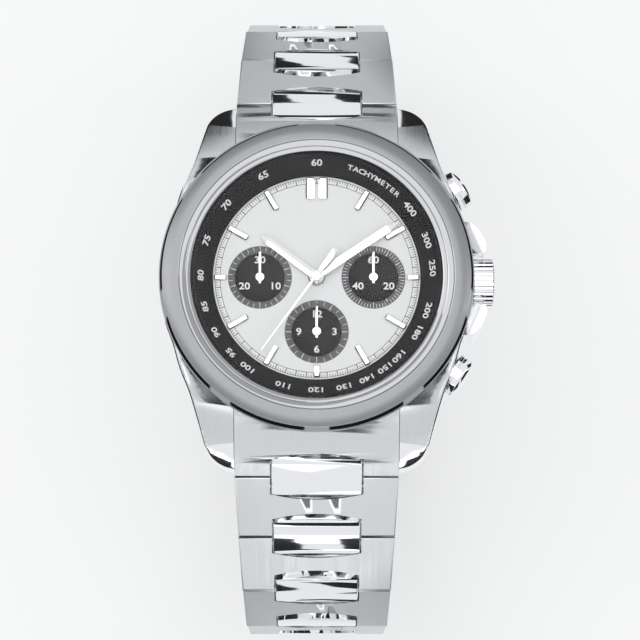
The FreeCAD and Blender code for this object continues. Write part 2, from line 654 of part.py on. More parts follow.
def end_link(side):
    """Solid end link between the lugs, with the first pivot pin."""
    tilt = math.radians(END_TILT[side])

    def at(u, w):
        return (FIRST_PIVOT[0] + u * math.cos(tilt) + w * math.sin(tilt),
                FIRST_PIVOT[1] - u * math.sin(tilt) + w * math.cos(tilt))

    low = math.radians(-33)
    k = math.sqrt(ARM_END ** 2 - HALF_T ** 2)
    tip = at(ARM_END, HALF_T)
    outline = [at(ARM_END, 0.0), (at(ARM_END * math.cos(low), ARM_END * math.sin(low)), at(k, -HALF_T)),
               (16.0, 1.0), (16.0, 8.0), ((21.4, 6.0), tip)]
    body = slab(outline, -LUG_GAP / 2 + 0.06, LUG_GAP / 2 - 0.06).cut(disc(LUG_WALL_R + 0.08, -5, 20))
    half = CENTRE_SHARE * SEAM_WIDTHS[0] + 0.12
    origin = at(-PITCH, 0.0)
    cuts = [place_link(c, origin, END_TILT[side], 12) for c in centre_pocket(half, 6.0)]
    y, z = SPRING_BAR
    cuts += [rod(0.78, (-12, y, z), (12, y, z)), rod(PIN_R, (-12,) + FIRST_PIVOT, (12,) + FIRST_PIVOT)]
    body = cut_all(body, cuts)
    pin = rod(PIN_R, (-10.7,) + FIRST_PIVOT, (10.7,) + FIRST_PIVOT)
    parts = [body, pin]
    return parts if side == 12 else [turn(p, 180) for p in parts]


def spring_bars():
    """Spring bars between the lugs, with their thinner tips."""
    y, z = SPRING_BAR
    bar = rod(0.75, (-10.85, y, z), (10.85, y, z)).fuse(rod(0.45, (-12.3, y, z), (12.3, y, z)))
    return both_ends(bar)


# ---------------------------------------------------------------- folding clasp
CLASP_R = 100.0               # radius of the circle through the last pivots
COVER_SPAN = (12.3, -12.85)   # degrees from the clasp's middle, positive to the 12 o'clock side
HINGE_C = (11.0, 99.3)        # between the two blades: degrees and radius
HINGE_B = (-11.8, 99.95)      # between the outer blade and the cover
BLADE_HALF = 6.6
WALL = (8.0, 8.9)


def clasp_frame():
    """Centre of the clasp's circle, and the turn of its middle line."""
    y12, z12 = pivots(12)[-1]
    y6, z6 = pivots(6)[-1]
    y6 = -y6
    half = math.hypot(y12 - y6, z12 - z6) / 2
    rise = math.sqrt(CLASP_R ** 2 - half ** 2)
    tilt = math.atan2(z12 - z6, y12 - y6)
    mid = ((y12 + y6) / 2, (z12 + z6) / 2)
    centre = (mid[0] - rise * math.sin(tilt), mid[1] + rise * math.cos(tilt))
    return centre, tilt, math.degrees(math.asin(half / CLASP_R))


CLASP_CENTRE, CLASP_TILT, CLASP_END = clasp_frame()


def on_clasp(degrees, r):
    """Y and Z of a point of the clasp."""
    a = math.radians(degrees) + CLASP_TILT
    return (CLASP_CENTRE[0] + r * math.sin(a), CLASP_CENTRE[1] - r * math.cos(a))


def bent(span, r0, r1, x0, x1):
    """Bent strip of the clasp between two angles, radii and X planes."""
    a, b = span
    mid = (a + b) / 2
    outline = [on_clasp(b, r1), (on_clasp(mid, r1), on_clasp(a, r1)), on_clasp(a, r0),
               (on_clasp(mid, r0), on_clasp(b, r0))]
    return slab(outline, x0, x1)


def clasp_pin(at, r, x0, x1):
    """Cross rod of the clasp at an angle and radius."""
    y, z = on_clasp(*at)
    return rod(r, (x0, y, z), (x1, y, z))


BUTTON_SPAN = (5.6, 3.2)


def clasp_cover():
    """Channel-shaped cover with its hinge pin and the tongue towards the 12 o'clock links."""
    walls = []
    for s in (1, -1):
        x0, x1 = sorted((s * WALL[0], s * WALL[1]))
        wall = bent((COVER_SPAN[0], HINGE_B[0]), 98.6, 101.0, x0, x1)
        knuckle = clasp_pin(HINGE_B, 1.35, x0, x1)
        walls += [wall, knuckle]
    skin = bent((COVER_SPAN[0], HINGE_B[0] - 0.15), 100.65, 101.8, -WALL[1], WALL[1])
    tongue = bent((CLASP_END - 0.53, COVER_SPAN[0] - 0.3), 99.9, 100.9, -4.0, 4.0)
    body = join([skin] + walls + [tongue])
    for s in (1, -1):
        x0, x1 = sorted((s * 7.5, s * 9.5))
        body = body.cut(bent(BUTTON_SPAN, 99.1, 100.3, x0, x1))
    y, z = on_clasp(*HINGE_B)
    return [body.cut(rod(0.4, (-12, y, z), (12, y, z))), clasp_pin(HINGE_B, 0.4, -8.8, 8.8)]


def clasp_blade_outer():
    """Blade hinged to the cover at one end and to the inner blade at the other."""
    strip = bent((HINGE_C[0] - 0.4, HINGE_B[0] + 0.3), 99.5, 100.4, -BLADE_HALF, BLADE_HALF)
    window = bent((6.5, -6.5), 99, 101, -3.6, 3.6)
    pieces = [strip.cut(window), clasp_pin(HINGE_B, 0.6, -BLADE_HALF, BLADE_HALF)]
    for s in (1, -1):
        x0, x1 = sorted((s * 2.6, s * BLADE_HALF))
        pieces.append(clasp_pin(HINGE_C, 0.85, x0, x1))
    body = join(pieces)
    body = body.cut(clasp_pin(HINGE_C, 1.0, -2.6, 2.6)).cut(clasp_pin(HINGE_C, 0.4, -9, 9))
    body = body.cut(clasp_pin(HINGE_B, 0.4 + RUN, -9, 9))
    return [body, clasp_pin(HINGE_C, 0.4, -BLADE_HALF + 0.2, BLADE_HALF - 0.2)]


def clasp_blade_inner():
    """Blade from the inner hinge to the last link on the 6 o'clock side."""
    strip = bent((HINGE_C[0] - 0.45, -CLASP_END + 0.75), 98.2, 99.1, -BLADE_HALF, BLADE_HALF)
    strip = strip.cut(bent((7.0, -7.0), 98, 99.5, -4.4, 4.4))
    strip = strip.cut(bent((-CLASP_END + 1.45, -CLASP_END - 1), 98, 99.5, -9, -4.2))
    strip = strip.cut(bent((-CLASP_END + 1.45, -CLASP_END - 1), 98, 99.5, 4.2, 9))
    eye = clasp_pin((-CLASP_END, CLASP_R), 0.95, -4.0, 4.0)
    lift = bent((-CLASP_END + 0.9, -CLASP_END), 98.9, 99.6, -4.0, 4.0)
    body = join([strip, eye, lift, clasp_pin(HINGE_C, 0.85, -2.5, 2.5)])
    for s in (1, -1):
        x0, x1 = sorted((s * 2.5, s * 9))
        body = body.cut(clasp_pin(HINGE_C, 0.95, x0, x1))
    body = body.cut(clasp_pin(HINGE_C, 0.4 + RUN, -9, 9))
    return body.cut(clasp_pin((-CLASP_END, CLASP_R), PIN_R + RUN, -9, 9))


def clasp_button(s):
    """Push piece through one wall of the cover, with an inner flange."""
    x0, x1 = sorted((s * 7.85, s * 9.35))
    f0, f1 = sorted((s * 7.55, s * 7.9))
    a, b = BUTTON_SPAN
    body = bent((a - 0.05, b + 0.05), 99.18, 100.22, x0, x1)
    return join([body, bent((a + 0.2, b - 0.2), 98.9, 100.5, f0, f1)])


# ---------------------------------------------------------------- write every node
write("case_middle", [case_middle()])
write("bezel", [turned(BEZEL)])
write("crystal", [turned(CRYSTAL)])
write("case_gaskets", gaskets())
write("tachymeter_ring", [turned(TACHY_RING)])
write("dial", [dial()])
write("subdial_plates", subdials())
write("hour_markers", hour_markers())
write("movement_ring", [movement_ring()])
write("main_plate", [main_plate()])
write("train_bridge", [train_bridge()])
write("balance_cock", [balance_cock()])
write("jewels", jewels())
write("bridge_screws", bridge_screws())
write("hairspring", [hairspring()])
write("case_back", [turned(CASE_BACK)])
write("case_back_crystal", [disc(BACK_CRYSTAL_R, 0, 1.7)])
write("case_tubes", case_tubes())
write("end_links", end_link(12) + end_link(6))
write("spring_bars", spring_bars())
write("crown", [crown()])
write("winding_stem", [winding_stem()])
write("start_pusher", [pusher(PUSHER_ANGLES[0])])
write("reset_pusher", [pusher(PUSHER_ANGLES[1])])
write("hour_hand", [hour_hand()])
write("minute_hand", [hand(13.1, 0.5, 0.12, 0, 10.78, 10.95, 0.85, 0.57, MINUTE_HAND_DEG)])
write("center_wheel", [centre_wheel()])
write("chrono_seconds_hand", [chrono_hand()])
write("chrono_runner_wheel", [join([gear(90, 0.066, 4.55, 4.75, (0, 0), 0, 5), disc(0.18, 4.0, 11.4)])])
write("small_seconds_hand", [hand(3.9, 0.15, 0.07, 0.9, 10.02, 10.14, 0.6, 0.16, 0, SECONDS_AT)])
write("fourth_wheel", [fourth_wheel()])
for name, at in (("minute_counter_hand", MINUTES_AT), ("hour_counter_hand", HOURS_AT)):
    counter = hand(3.9, 0.15, 0.07, 0.9, 10.02, 10.14, 0.6, 0.14, 0, at)
    write(name, [join([counter, disc(0.15, 7.85, 10.16, at)])])
write("third_wheel", [third_wheel()])
write("escape_wheel", [escape_wheel()])
write("pallet_fork", [pallet_fork()])
write("balance_wheel", [balance_wheel()])
write("barrel", [barrel()])
write("rotor", [rotor()])
write("column_wheel", [column_wheel()])
write("reset_hammer", [reset_hammer()])
for side in (12, 6):
    for index in range(7):
        write("link_%d_%d" % (side, index + 1), link(side, index))
write("clasp_cover", clasp_cover())
write("clasp_blade_outer", clasp_blade_outer())
write("clasp_blade_inner", [clasp_blade_inner()])
write("clasp_button_right", [clasp_button(1)])
write("clasp_button_left", [clasp_button(-1)])
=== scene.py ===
"""Looks of a steel bracelet chronograph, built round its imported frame."""

import json
import logging
import math
from collections.abc import Callable, Iterable, Sequence
from dataclasses import dataclass
from enum import Enum
from typing import ClassVar

import bpy
from mathutils import Matrix, Vector

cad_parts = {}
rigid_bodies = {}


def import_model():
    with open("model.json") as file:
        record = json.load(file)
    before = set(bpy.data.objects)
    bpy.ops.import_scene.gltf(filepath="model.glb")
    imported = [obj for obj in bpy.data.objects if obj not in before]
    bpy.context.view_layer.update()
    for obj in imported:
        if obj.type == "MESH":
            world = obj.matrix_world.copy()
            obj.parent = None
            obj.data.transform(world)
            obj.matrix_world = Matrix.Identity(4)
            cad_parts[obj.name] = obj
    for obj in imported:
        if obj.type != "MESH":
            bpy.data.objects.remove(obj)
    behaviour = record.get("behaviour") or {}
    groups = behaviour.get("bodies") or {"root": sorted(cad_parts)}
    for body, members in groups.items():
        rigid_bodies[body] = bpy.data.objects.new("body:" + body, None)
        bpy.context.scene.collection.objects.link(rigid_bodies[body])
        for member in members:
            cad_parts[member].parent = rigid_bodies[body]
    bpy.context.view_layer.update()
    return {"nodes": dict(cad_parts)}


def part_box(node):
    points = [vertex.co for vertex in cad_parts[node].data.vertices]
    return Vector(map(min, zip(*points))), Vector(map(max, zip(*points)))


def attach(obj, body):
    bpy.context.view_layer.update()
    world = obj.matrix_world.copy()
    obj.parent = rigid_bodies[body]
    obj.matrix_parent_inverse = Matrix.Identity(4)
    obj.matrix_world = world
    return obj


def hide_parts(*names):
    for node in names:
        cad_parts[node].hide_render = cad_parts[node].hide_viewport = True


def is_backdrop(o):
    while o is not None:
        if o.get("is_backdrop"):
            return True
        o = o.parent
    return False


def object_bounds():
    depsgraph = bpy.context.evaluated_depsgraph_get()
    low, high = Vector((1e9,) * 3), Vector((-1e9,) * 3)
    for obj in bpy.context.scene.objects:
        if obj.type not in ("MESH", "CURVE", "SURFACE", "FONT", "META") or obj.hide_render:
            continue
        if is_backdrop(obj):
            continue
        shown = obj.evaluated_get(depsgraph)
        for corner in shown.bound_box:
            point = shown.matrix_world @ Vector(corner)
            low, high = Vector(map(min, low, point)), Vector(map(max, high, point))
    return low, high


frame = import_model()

LOG = logging.getLogger("watch")
MM = 0.001
Point = tuple[float, float]
Obj = bpy.types.Object


def box_mm(node: str) -> tuple[Vector, Vector]:
    """A node's lowest and highest corners in millimetres."""
    low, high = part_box(node)
    return low / MM, high / MM


# ------------------------------------------------------------------ bench work in millimetres
class Bench:
    """Edit-mode shaping of one new mesh in millimetres; done() puts it at its real size."""

    def __init__(self, name: str) -> None:
        """Start with nothing selected.

        Args:
            name: name of the piece.
        """
        self.name = name
        if bpy.context.object and bpy.context.object.mode != "OBJECT":
            bpy.ops.object.mode_set(mode="OBJECT")
        bpy.ops.object.select_all(action="DESELECT")
        self.obj: Obj | None = None

    def take(self) -> "Bench":
        """Keep the active object, with its place in its mesh, and open it for editing.

        Returns:
            This bench.
        """
        self.obj = bpy.context.object
        self.obj.name = self.name
        bpy.ops.object.transform_apply(location=True, rotation=True, scale=True)
        bpy.ops.object.mode_set(mode="EDIT")
        bpy.ops.mesh.select_all(action="SELECT")
        return self

    def point(self, x: float, y: float, z: float) -> "Bench":
        """Start from a single vertex.

        Args:
            x: X of the vertex.
            y: Y of the vertex.
            z: Z of the vertex.

        Returns:
            This bench.
        """
        bpy.ops.mesh.primitive_plane_add(size=1.0, location=(x, y, z))
        self.take()
        bpy.ops.mesh.merge(type="CENTER")
        return self

    def block(self, low: Sequence[float], high: Sequence[float]) -> "Bench":
        """Start from a block between two corners.

        Args:
            low: the lowest corner.
            high: the highest corner.

        Returns:
            This bench.
        """
        mid = [(a + b) / 2 for a, b in zip(low, high)]
        size = [b - a for a, b in zip(low, high)]
        bpy.ops.mesh.primitive_cube_add(size=1.0, location=mid, scale=size)
        return self.take()

    def disc(self, radius: float, at: Sequence[float], sides: int = 64) -> "Bench":
        """Start from a filled circle."""
        bpy.ops.mesh.primitive_circle_add(vertices=sides, radius=radius, location=at, fill_type="NGON")
        return self.take()

    def pull(self, dx: float, dy: float, dz: float) -> "Bench":
        """Extrude what is selected."""
        bpy.ops.mesh.extrude_region_move(TRANSFORM_OT_translate={"value": (dx, dy, dz)})
        return self

    def scale(self, factor: Sequence[float], centre: Sequence[float]) -> "Bench":
        """Scale what is selected about a point."""
        bpy.ops.transform.resize(value=factor, center_override=centre)
        return self

    def pick(self, test: Callable[[Vector], bool]) -> "Bench":
        """Select the vertices that pass a test on their place.

        Args:
            test: says whether a vertex at this place is wanted.

        Returns:
            This bench.
        """
        bpy.ops.mesh.select_all(action="DESELECT")
        bpy.ops.object.mode_set(mode="OBJECT")
        for vertex in self.obj.data.vertices:
            vertex.select = test(vertex.co)
        bpy.ops.object.mode_set(mode="EDIT")
        bpy.ops.mesh.select_mode(type="VERT")
        return self

    def move(self, dx: float, dy: float, dz: float) -> "Bench":
        """Move what is selected."""
        bpy.ops.transform.translate(value=(dx, dy, dz))
        return self

    def spin(self, at: Sequence[float], steps: int, copies: bool = False) -> "Bench":
        """Turn everything round an upright axis, as a skin or as separate copies.

        Args:
            at: the centre.
            steps: steps in a full turn.
            copies: separate copies instead of a skin.

        Returns:
            This bench.
        """
        bpy.ops.mesh.select_all(action="SELECT")
        bpy.ops.mesh.spin(steps=steps, dupli=copies, angle=math.tau, center=at, axis=(0, 0, 1))
        return self

    def clean(self, gap: float = 0.0005) -> "Bench":
        """Merge doubles, then turn every face outwards.

        Args:
            gap: vertices nearer than this become one.

        Returns:
            This bench.
        """
        bpy.ops.mesh.select_all(action="SELECT")
        bpy.ops.mesh.remove_doubles(threshold=gap)
        bpy.ops.mesh.normals_make_consistent(inside=False)
        return self

    def done(self, bevel: float = 0.0, segments: int = 2, smooth: float = 35.0) -> Obj:
        """Leave edit mode, bevel the sharp edges and scale to metres.

        Args:
            bevel: width in millimetres, or 0 for none.
            segments: bevel segments.
            smooth: edges flatter than this angle are shaded smooth.

        Returns:
            The finished object.
        """
        bpy.ops.object.mode_set(mode="OBJECT")
        if bevel > 0:
            soft = self.obj.modifiers.new("edge", "BEVEL")
            soft.width, soft.segments, soft.limit_method = bevel, segments, "ANGLE"
            soft.angle_limit = math.radians(28)
            bpy.ops.object.modifier_apply(modifier=soft.name)
        self.obj.data.transform(Matrix.Scale(MM, 4))
        bpy.ops.object.shade_smooth_by_angle(angle=math.radians(smooth))
        return self.obj


def lathe(name: str, profile: Sequence[Point], at: Point = (0.0, 0.0), steps: int = 96,
          bevel: float = 0.0) -> Obj:
    """Turned piece from (radius, height) points; a profile that starts off the axis is closed.

    Args:
        name: name of the piece.
        profile: radius and height of each corner, in millimetres.
        at: axis of the turning.
        steps: sides of the turned skin.
        bevel: width of the edge bevel.

    Returns:
        The piece.
    """
    corners = list(profile)
    if corners[0][0] > 0.001:
        corners.append(corners[0])
    bench = Bench(name).point(at[0] + corners[0][0], at[1], corners[0][1])
    for (r0, z0), (r1, z1) in zip(corners, corners[1:]):
        move = {"value": (r1 - r0, 0, z1 - z0)}
        bpy.ops.mesh.extrude_vertices_move(TRANSFORM_OT_translate=move)
    bench.clean().spin((at[0], at[1], 0), steps).clean()
    return bench.done(bevel)


def merge(name: str, objects: Sequence[Obj]) -> Obj:
    """Join finished objects into one piece.

    Args:
        name: name of the piece.
        objects: the pieces to join.

    Returns:
        The joined piece.
    """
    bpy.ops.object.select_all(action="DESELECT")
    for obj in objects:
        obj.select_set(True)
    bpy.context.view_layer.objects.active = objects[0]
    if len(objects) > 1:
        bpy.ops.object.join()
    objects[0].name = name
    return objects[0]


def lettering(text: str, size: float, place: Matrix, depth: float = 0.03, spacing: float = 1.0,
              wide: float = 1.15) -> Obj:
    """Raised print of generic letters or numbers.

    Args:
        text: what it says.
        size: letter size in millimetres.
        place: from the text's own plane to the watch, in millimetres.
        depth: thickness of the print.
        spacing: letter spacing.
        wide: how much wider than the plain letters.

    Returns:
        A mesh object.
    """
    bpy.ops.object.select_all(action="DESELECT")
    bpy.ops.object.text_add()
    obj = bpy.context.object
    obj.data.body, obj.data.size, obj.data.extrude = text, size, depth / 2
    obj.data.offset = 0.022 * size
    obj.data.align_x, obj.data.align_y = "CENTER", "CENTER"
    obj.data.space_character, obj.data.resolution_u = spacing, 3
    bpy.ops.object.convert(target="MESH")
    obj = bpy.context.object
    obj.data.transform(Matrix.Scale(MM, 4) @ place @ Matrix.Diagonal((wide, 1, 1, 1)))
    return obj


def spot(x: float, y: float, z: float, degrees: float = 0.0) -> Matrix:
    """Place in millimetres, turned clockwise."""
    return Matrix.Translation((x, y, z)) @ Matrix.Rotation(math.radians(-degrees), 4, "Z")


def clock(radius: float, degrees: float, at: Point = (0.0, 0.0)) -> Point:
    """Point at a clock angle, clockwise from 12."""
    a = math.radians(degrees)
    return at[0] + radius * math.sin(a), at[1] + radius * math.cos(a)


def place_mm(obj: Obj, place: Matrix) -> None:
    """Move a finished mesh by a matrix written in millimetres."""
    obj.data.transform(Matrix.Scale(MM, 4) @ place @ Matrix.Scale(1 / MM, 4))


def softened(node: str, smooth: float = 32.0) -> Obj:
    """A CAD node's own shape with its loose triangles merged and shaded smooth.

    Args:
        node: the node, which this piece replaces.
        smooth: edges flatter than this angle are shaded smooth.

    Returns:
        The piece.
    """
    obj = bpy.data.objects.new(node + "_finished", frame["nodes"][node].data.copy())
    bpy.context.collection.objects.link(obj)
    bpy.ops.object.select_all(action="DESELECT")
    obj.select_set(True)
    bpy.context.view_layer.objects.active = obj
    obj.data.transform(Matrix.Scale(1 / MM, 4))
    bpy.ops.object.mode_set(mode="EDIT")
    bpy.ops.mesh.select_all(action="SELECT")
    bpy.ops.mesh.remove_doubles(threshold=0.0005)
    bpy.ops.mesh.dissolve_limited(angle_limit=math.radians(0.5))
    bpy.ops.object.mode_set(mode="OBJECT")
    obj.data.transform(Matrix.Scale(MM, 4))
    bpy.ops.object.shade_smooth_by_angle(angle=math.radians(smooth))
    return obj


def dress(obj: Obj, material: bpy.types.Material, body: str, nodes: Iterable[str] = ()) -> Obj:
    """Give a piece its material and body, and hide the CAD nodes it stands for.

    Args:
        obj: the piece.
        material: its finish.
        body: the body that it rides on.
        nodes: CAD nodes that it replaces.

    Returns:
        The same piece.
    """
    obj.data.materials.clear()
    obj.data.materials.append(material)
    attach(obj, body)
    nodes = list(nodes)
    if nodes:
        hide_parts(*nodes)
    LOG.info("%s on %s: %d faces", obj.name, body, len(obj.data.polygons))
    return obj


# ------------------------------------------------------------------ finishes
class Grain(Enum):
    """Which way a brushed surface was brushed."""

    LENGTHWISE = "lengthwise"
    ACROSS = "across"
    CIRCULAR = "circular"
    SATIN = "satin"


def new_group(name: str, inputs: Sequence[tuple[str, str, float]],
              outputs: Sequence[tuple[str, str]]) -> bpy.types.NodeTree:
    """Empty shader node group with named sockets.

    Args:
        name: the group's name.
        inputs: name, socket kind and default value of each input.
        outputs: name and socket kind of each output.

    Returns:
        The group, with its two end nodes named "in" and "out".
    """
    group = bpy.data.node_groups.new(name, "ShaderNodeTree")
    for label, kind, value in inputs:
        socket = group.interface.new_socket(name=label, in_out="INPUT", socket_type=kind)
        if kind == "NodeSocketFloat":
            socket.default_value = value
    for label, kind in outputs:
        group.interface.new_socket(name=label, in_out="OUTPUT", socket_type=kind)
    group.nodes.new("NodeGroupInput").name = "in"
    group.nodes.new("NodeGroupOutput").name = "out"
    return group


def math_node(tree: bpy.types.NodeTree, operation: str, *values: object) -> bpy.types.NodeSocket:
    """Math node whose inputs are sockets or numbers; returns its result.

    Args:
        tree: the node tree.
        operation: the math operation.
        values: sockets or numbers, in order.

    Returns:
        The result.
    """
    node = tree.nodes.new("ShaderNodeMath")
    node.operation = operation
    for slot_index, value in enumerate(values):
        if isinstance(value, (int, float)):
            node.inputs[slot_index].default_value = value
        else:
            tree.links.new(value, node.inputs[slot_index])
    return node.outputs[0]


def noise_node(tree: bpy.types.NodeTree, vector: bpy.types.NodeSocket, scale: float,
               detail: float = 2.0) -> bpy.types.NodeSocket:
    """Noise texture on a vector; returns its value.

    Args:
        tree: the node tree.
        vector: the coordinates that it reads.
        scale: its scale.
        detail: its detail.

    Returns:
        The noise's value.
    """
    node = tree.nodes.new("ShaderNodeTexNoise")
    node.inputs["Scale"].default_value = scale
    node.inputs["Detail"].default_value = detail
    tree.links.new(vector, node.inputs["Vector"])
    return node.outputs["Fac"]


def build_strokes() -> bpy.types.NodeTree:
    """Brush strokes: fine lines and broader bands from coordinates already stretched along the stroke.

    Returns:
        The group.
    """
    inputs = [("Coordinates", "NodeSocketVector", 0.0), ("Depth", "NodeSocketFloat", 0.5)]
    outputs = [("Value", "NodeSocketFloat"), ("Height", "NodeSocketFloat")]
    group = new_group("brush_strokes", inputs, outputs)
    source, sink = group.nodes["in"], group.nodes["out"]
    fine = noise_node(group, source.outputs["Coordinates"], 1.0, 3.0)
    broad = noise_node(group, source.outputs["Coordinates"], 0.22, 1.0)
    both = math_node(group, "ADD", math_node(group, "MULTIPLY", fine, 0.65),
                     math_node(group, "MULTIPLY", broad, 0.35))
    group.links.new(both, sink.inputs["Value"])
    group.links.new(math_node(group, "MULTIPLY", both, source.outputs["Depth"]), sink.inputs["Height"])
    return group


def build_wear() -> bpy.types.NodeTree:
    """Edge mask on the rims from the surface's pointiness, broken up by noise: brushed parts take it as lower
    roughness on rubbed edges, polished parts as brighter rims, a painted highlight.

    Returns:
        The group.
    """
    inputs = [("Coordinates", "NodeSocketVector", 0.0), ("Amount", "NodeSocketFloat", 0.5)]
    group = new_group("edge_wear_and_highlight", inputs, [("Mask", "NodeSocketFloat")])
    source, sink = group.nodes["in"], group.nodes["out"]
    geometry = group.nodes.new("ShaderNodeNewGeometry")
    sharp = group.nodes.new("ShaderNodeMapRange")
    sharp.inputs["From Min"].default_value = 0.52
    sharp.inputs["From Max"].default_value = 0.62
    group.links.new(geometry.outputs["Pointiness"], sharp.inputs["Value"])
    broken = noise_node(group, source.outputs["Coordinates"], 900.0, 3.0)
    mask = math_node(group, "MULTIPLY", sharp.outputs[0], broken)
    group.links.new(math_node(group, "MULTIPLY", mask, source.outputs["Amount"]), sink.inputs["Mask"])
    return group


def build_handling() -> bpy.types.NodeTree:
    """Faint smears and hairlines that keep a polished or printed surface from looking perfect.

    Returns:
        The group.
    """
    group = new_group("handling", [("Coordinates", "NodeSocketVector", 0.0), ("Base", "NodeSocketFloat", 0.1),
                                   ("Spread", "NodeSocketFloat", 0.05)], [("Roughness", "NodeSocketFloat")])
    source, sink = group.nodes["in"], group.nodes["out"]
    smear = noise_node(group, source.outputs["Coordinates"], 160.0, 4.0)
    hair = noise_node(group, source.outputs["Coordinates"], 2600.0, 2.0)
    mixed = math_node(group, "ADD", math_node(group, "MULTIPLY", smear, 0.7),
                      math_node(group, "MULTIPLY", hair, 0.3))
    spread = math_node(group, "MULTIPLY", math_node(group, "SUBTRACT", mixed, 0.4), source.outputs["Spread"])
    group.links.new(math_node(group, "ADD", spread, source.outputs["Base"]), sink.inputs["Roughness"])
    return group


def build_polar() -> bpy.types.NodeTree:
    """Coordinates that run round an upright axis, for circular brushing and snailing.

    Returns:
        The group.
    """
    inputs = [("Coordinates", "NodeSocketVector", 0.0), ("Lines", "NodeSocketFloat", 9000.0)]
    outputs = [("Vector", "NodeSocketVector"), ("Radius", "NodeSocketFloat")]
    group = new_group("round_the_axis", inputs, outputs)
    source, sink = group.nodes["in"], group.nodes["out"]
    split = group.nodes.new("ShaderNodeSeparateXYZ")
    group.links.new(source.outputs["Coordinates"], split.inputs[0])
    x, y, z = split.outputs
    radius = math_node(group, "SQRT", math_node(group, "ADD", math_node(group, "MULTIPLY", x, x),
                                                math_node(group, "MULTIPLY", y, y)))
    joined = group.nodes.new("ShaderNodeCombineXYZ")
    group.links.new(math_node(group, "MULTIPLY", radius, source.outputs["Lines"]), joined.inputs[0])
    group.links.new(math_node(group, "MULTIPLY", z, source.outputs["Lines"]), joined.inputs[1])
    group.links.new(joined.outputs[0], sink.inputs["Vector"])
    group.links.new(radius, sink.inputs["Radius"])
    return group


class Effects:
    """The shared node groups, built once."""

    def __init__(self) -> None:
        """Build every group."""
        self.strokes = build_strokes()
        self.wear = build_wear()
        self.handling = build_handling()
        self.polar = build_polar()


class Shade:
    """One material under construction: its tree, Principled shader and coordinates."""

    def __init__(self, name: str) -> None:
        """Make the material.

        Args:
            name: the material's name.
        """
        self.material = bpy.data.materials.new(name)
        self.material.use_nodes = True
        self.tree = self.material.node_tree
        self.shader = next(n for n in self.tree.nodes if n.type == "BSDF_PRINCIPLED")
        self.coords = self.tree.nodes.new("ShaderNodeTexCoord").outputs["Object"]

    def plain(self, **values: object) -> None:
        """Set constant inputs of the shader, such as Metallic or Coat_Weight."""
        for key, value in values.items():
            self.shader.inputs[key.replace("_", " ")].default_value = value

    def mapped(self, scale: Sequence[float], shift: Sequence[float] = (0, 0, 0)) -> bpy.types.NodeSocket:
        """Object coordinates moved and stretched.

        Args:
            scale: stretch along each axis.
            shift: how far it is moved.

        Returns:
            The coordinates.
        """
        node = self.tree.nodes.new("ShaderNodeMapping")
        node.inputs["Location"].default_value = [-a * b for a, b in zip(shift, scale)]
        node.inputs["Scale"].default_value = scale
        self.tree.links.new(self.coords, node.inputs["Vector"])
        return node.outputs[0]

    def group(self, tree: bpy.types.NodeTree, vector: bpy.types.NodeSocket,
              **values: float) -> bpy.types.Node:
        """Place a shared group with its own values.

        Args:
            tree: the shared group.
            vector: its coordinates.
            values: constant values, by socket name.

        Returns:
            The group node.
        """
        node = self.tree.nodes.new("ShaderNodeGroup")
        node.node_tree = tree
        self.tree.links.new(vector, node.inputs["Coordinates"])
        for key, value in values.items():
            node.inputs[key].default_value = value
        return node

    def feed(self, socket: str, value: bpy.types.NodeSocket) -> None:
        """Link a value to one of the shader's inputs."""
        self.tree.links.new(value, self.shader.inputs[socket])

    def spread(self, value: bpy.types.NodeSocket, low: float, high: float, start: float = 0.3,
               end: float = 0.7) -> bpy.types.NodeSocket:
        """Value from start..end spread over low..high.

        Args:
            value: the value that is read.
            low: result at the start.
            high: result at the end.
            start: where the value starts.
            end: where the value ends.

        Returns:
            The spread value.
        """
        node = self.tree.nodes.new("ShaderNodeMapRange")
        for key, number in (("From Min", start), ("From Max", end), ("To Min", low), ("To Max", high)):
            node.inputs[key].default_value = number
        self.tree.links.new(value, node.inputs["Value"])
        return node.outputs[0]

    def tints(self, value: bpy.types.NodeSocket, dark: Sequence[float], light: Sequence[float]) -> None:
        """Base colour between two tints.

        Args:
            value: the value that is read.
            dark: tint at 0.
            light: tint at 1.
        """
        node = self.tree.nodes.new("ShaderNodeMix")
        node.data_type = "RGBA"
        node.inputs["A"].default_value = (*dark, 1)
        node.inputs["B"].default_value = (*light, 1)
        self.tree.links.new(value, node.inputs["Factor"])
        self.feed("Base Color", node.outputs["Result"])

    def bump(self, height: bpy.types.NodeSocket, strength: float, distance: float) -> None:
        """Bump from a height.

        Args:
            height: the height.
            strength: how strong the bump is.
            distance: depth of the bump in metres.
        """
        node = self.tree.nodes.new("ShaderNodeBump")
        node.inputs["Strength"].default_value = strength
        node.inputs["Distance"].default_value = distance
        self.tree.links.new(height, node.inputs["Height"])
        self.feed("Normal", node.outputs[0])


STROKE_SCALE = {
    Grain.LENGTHWISE: (11000, 90, 90),
    Grain.ACROSS: (90, 11000, 11000),
    Grain.SATIN: (5000, 5000, 5000),
}


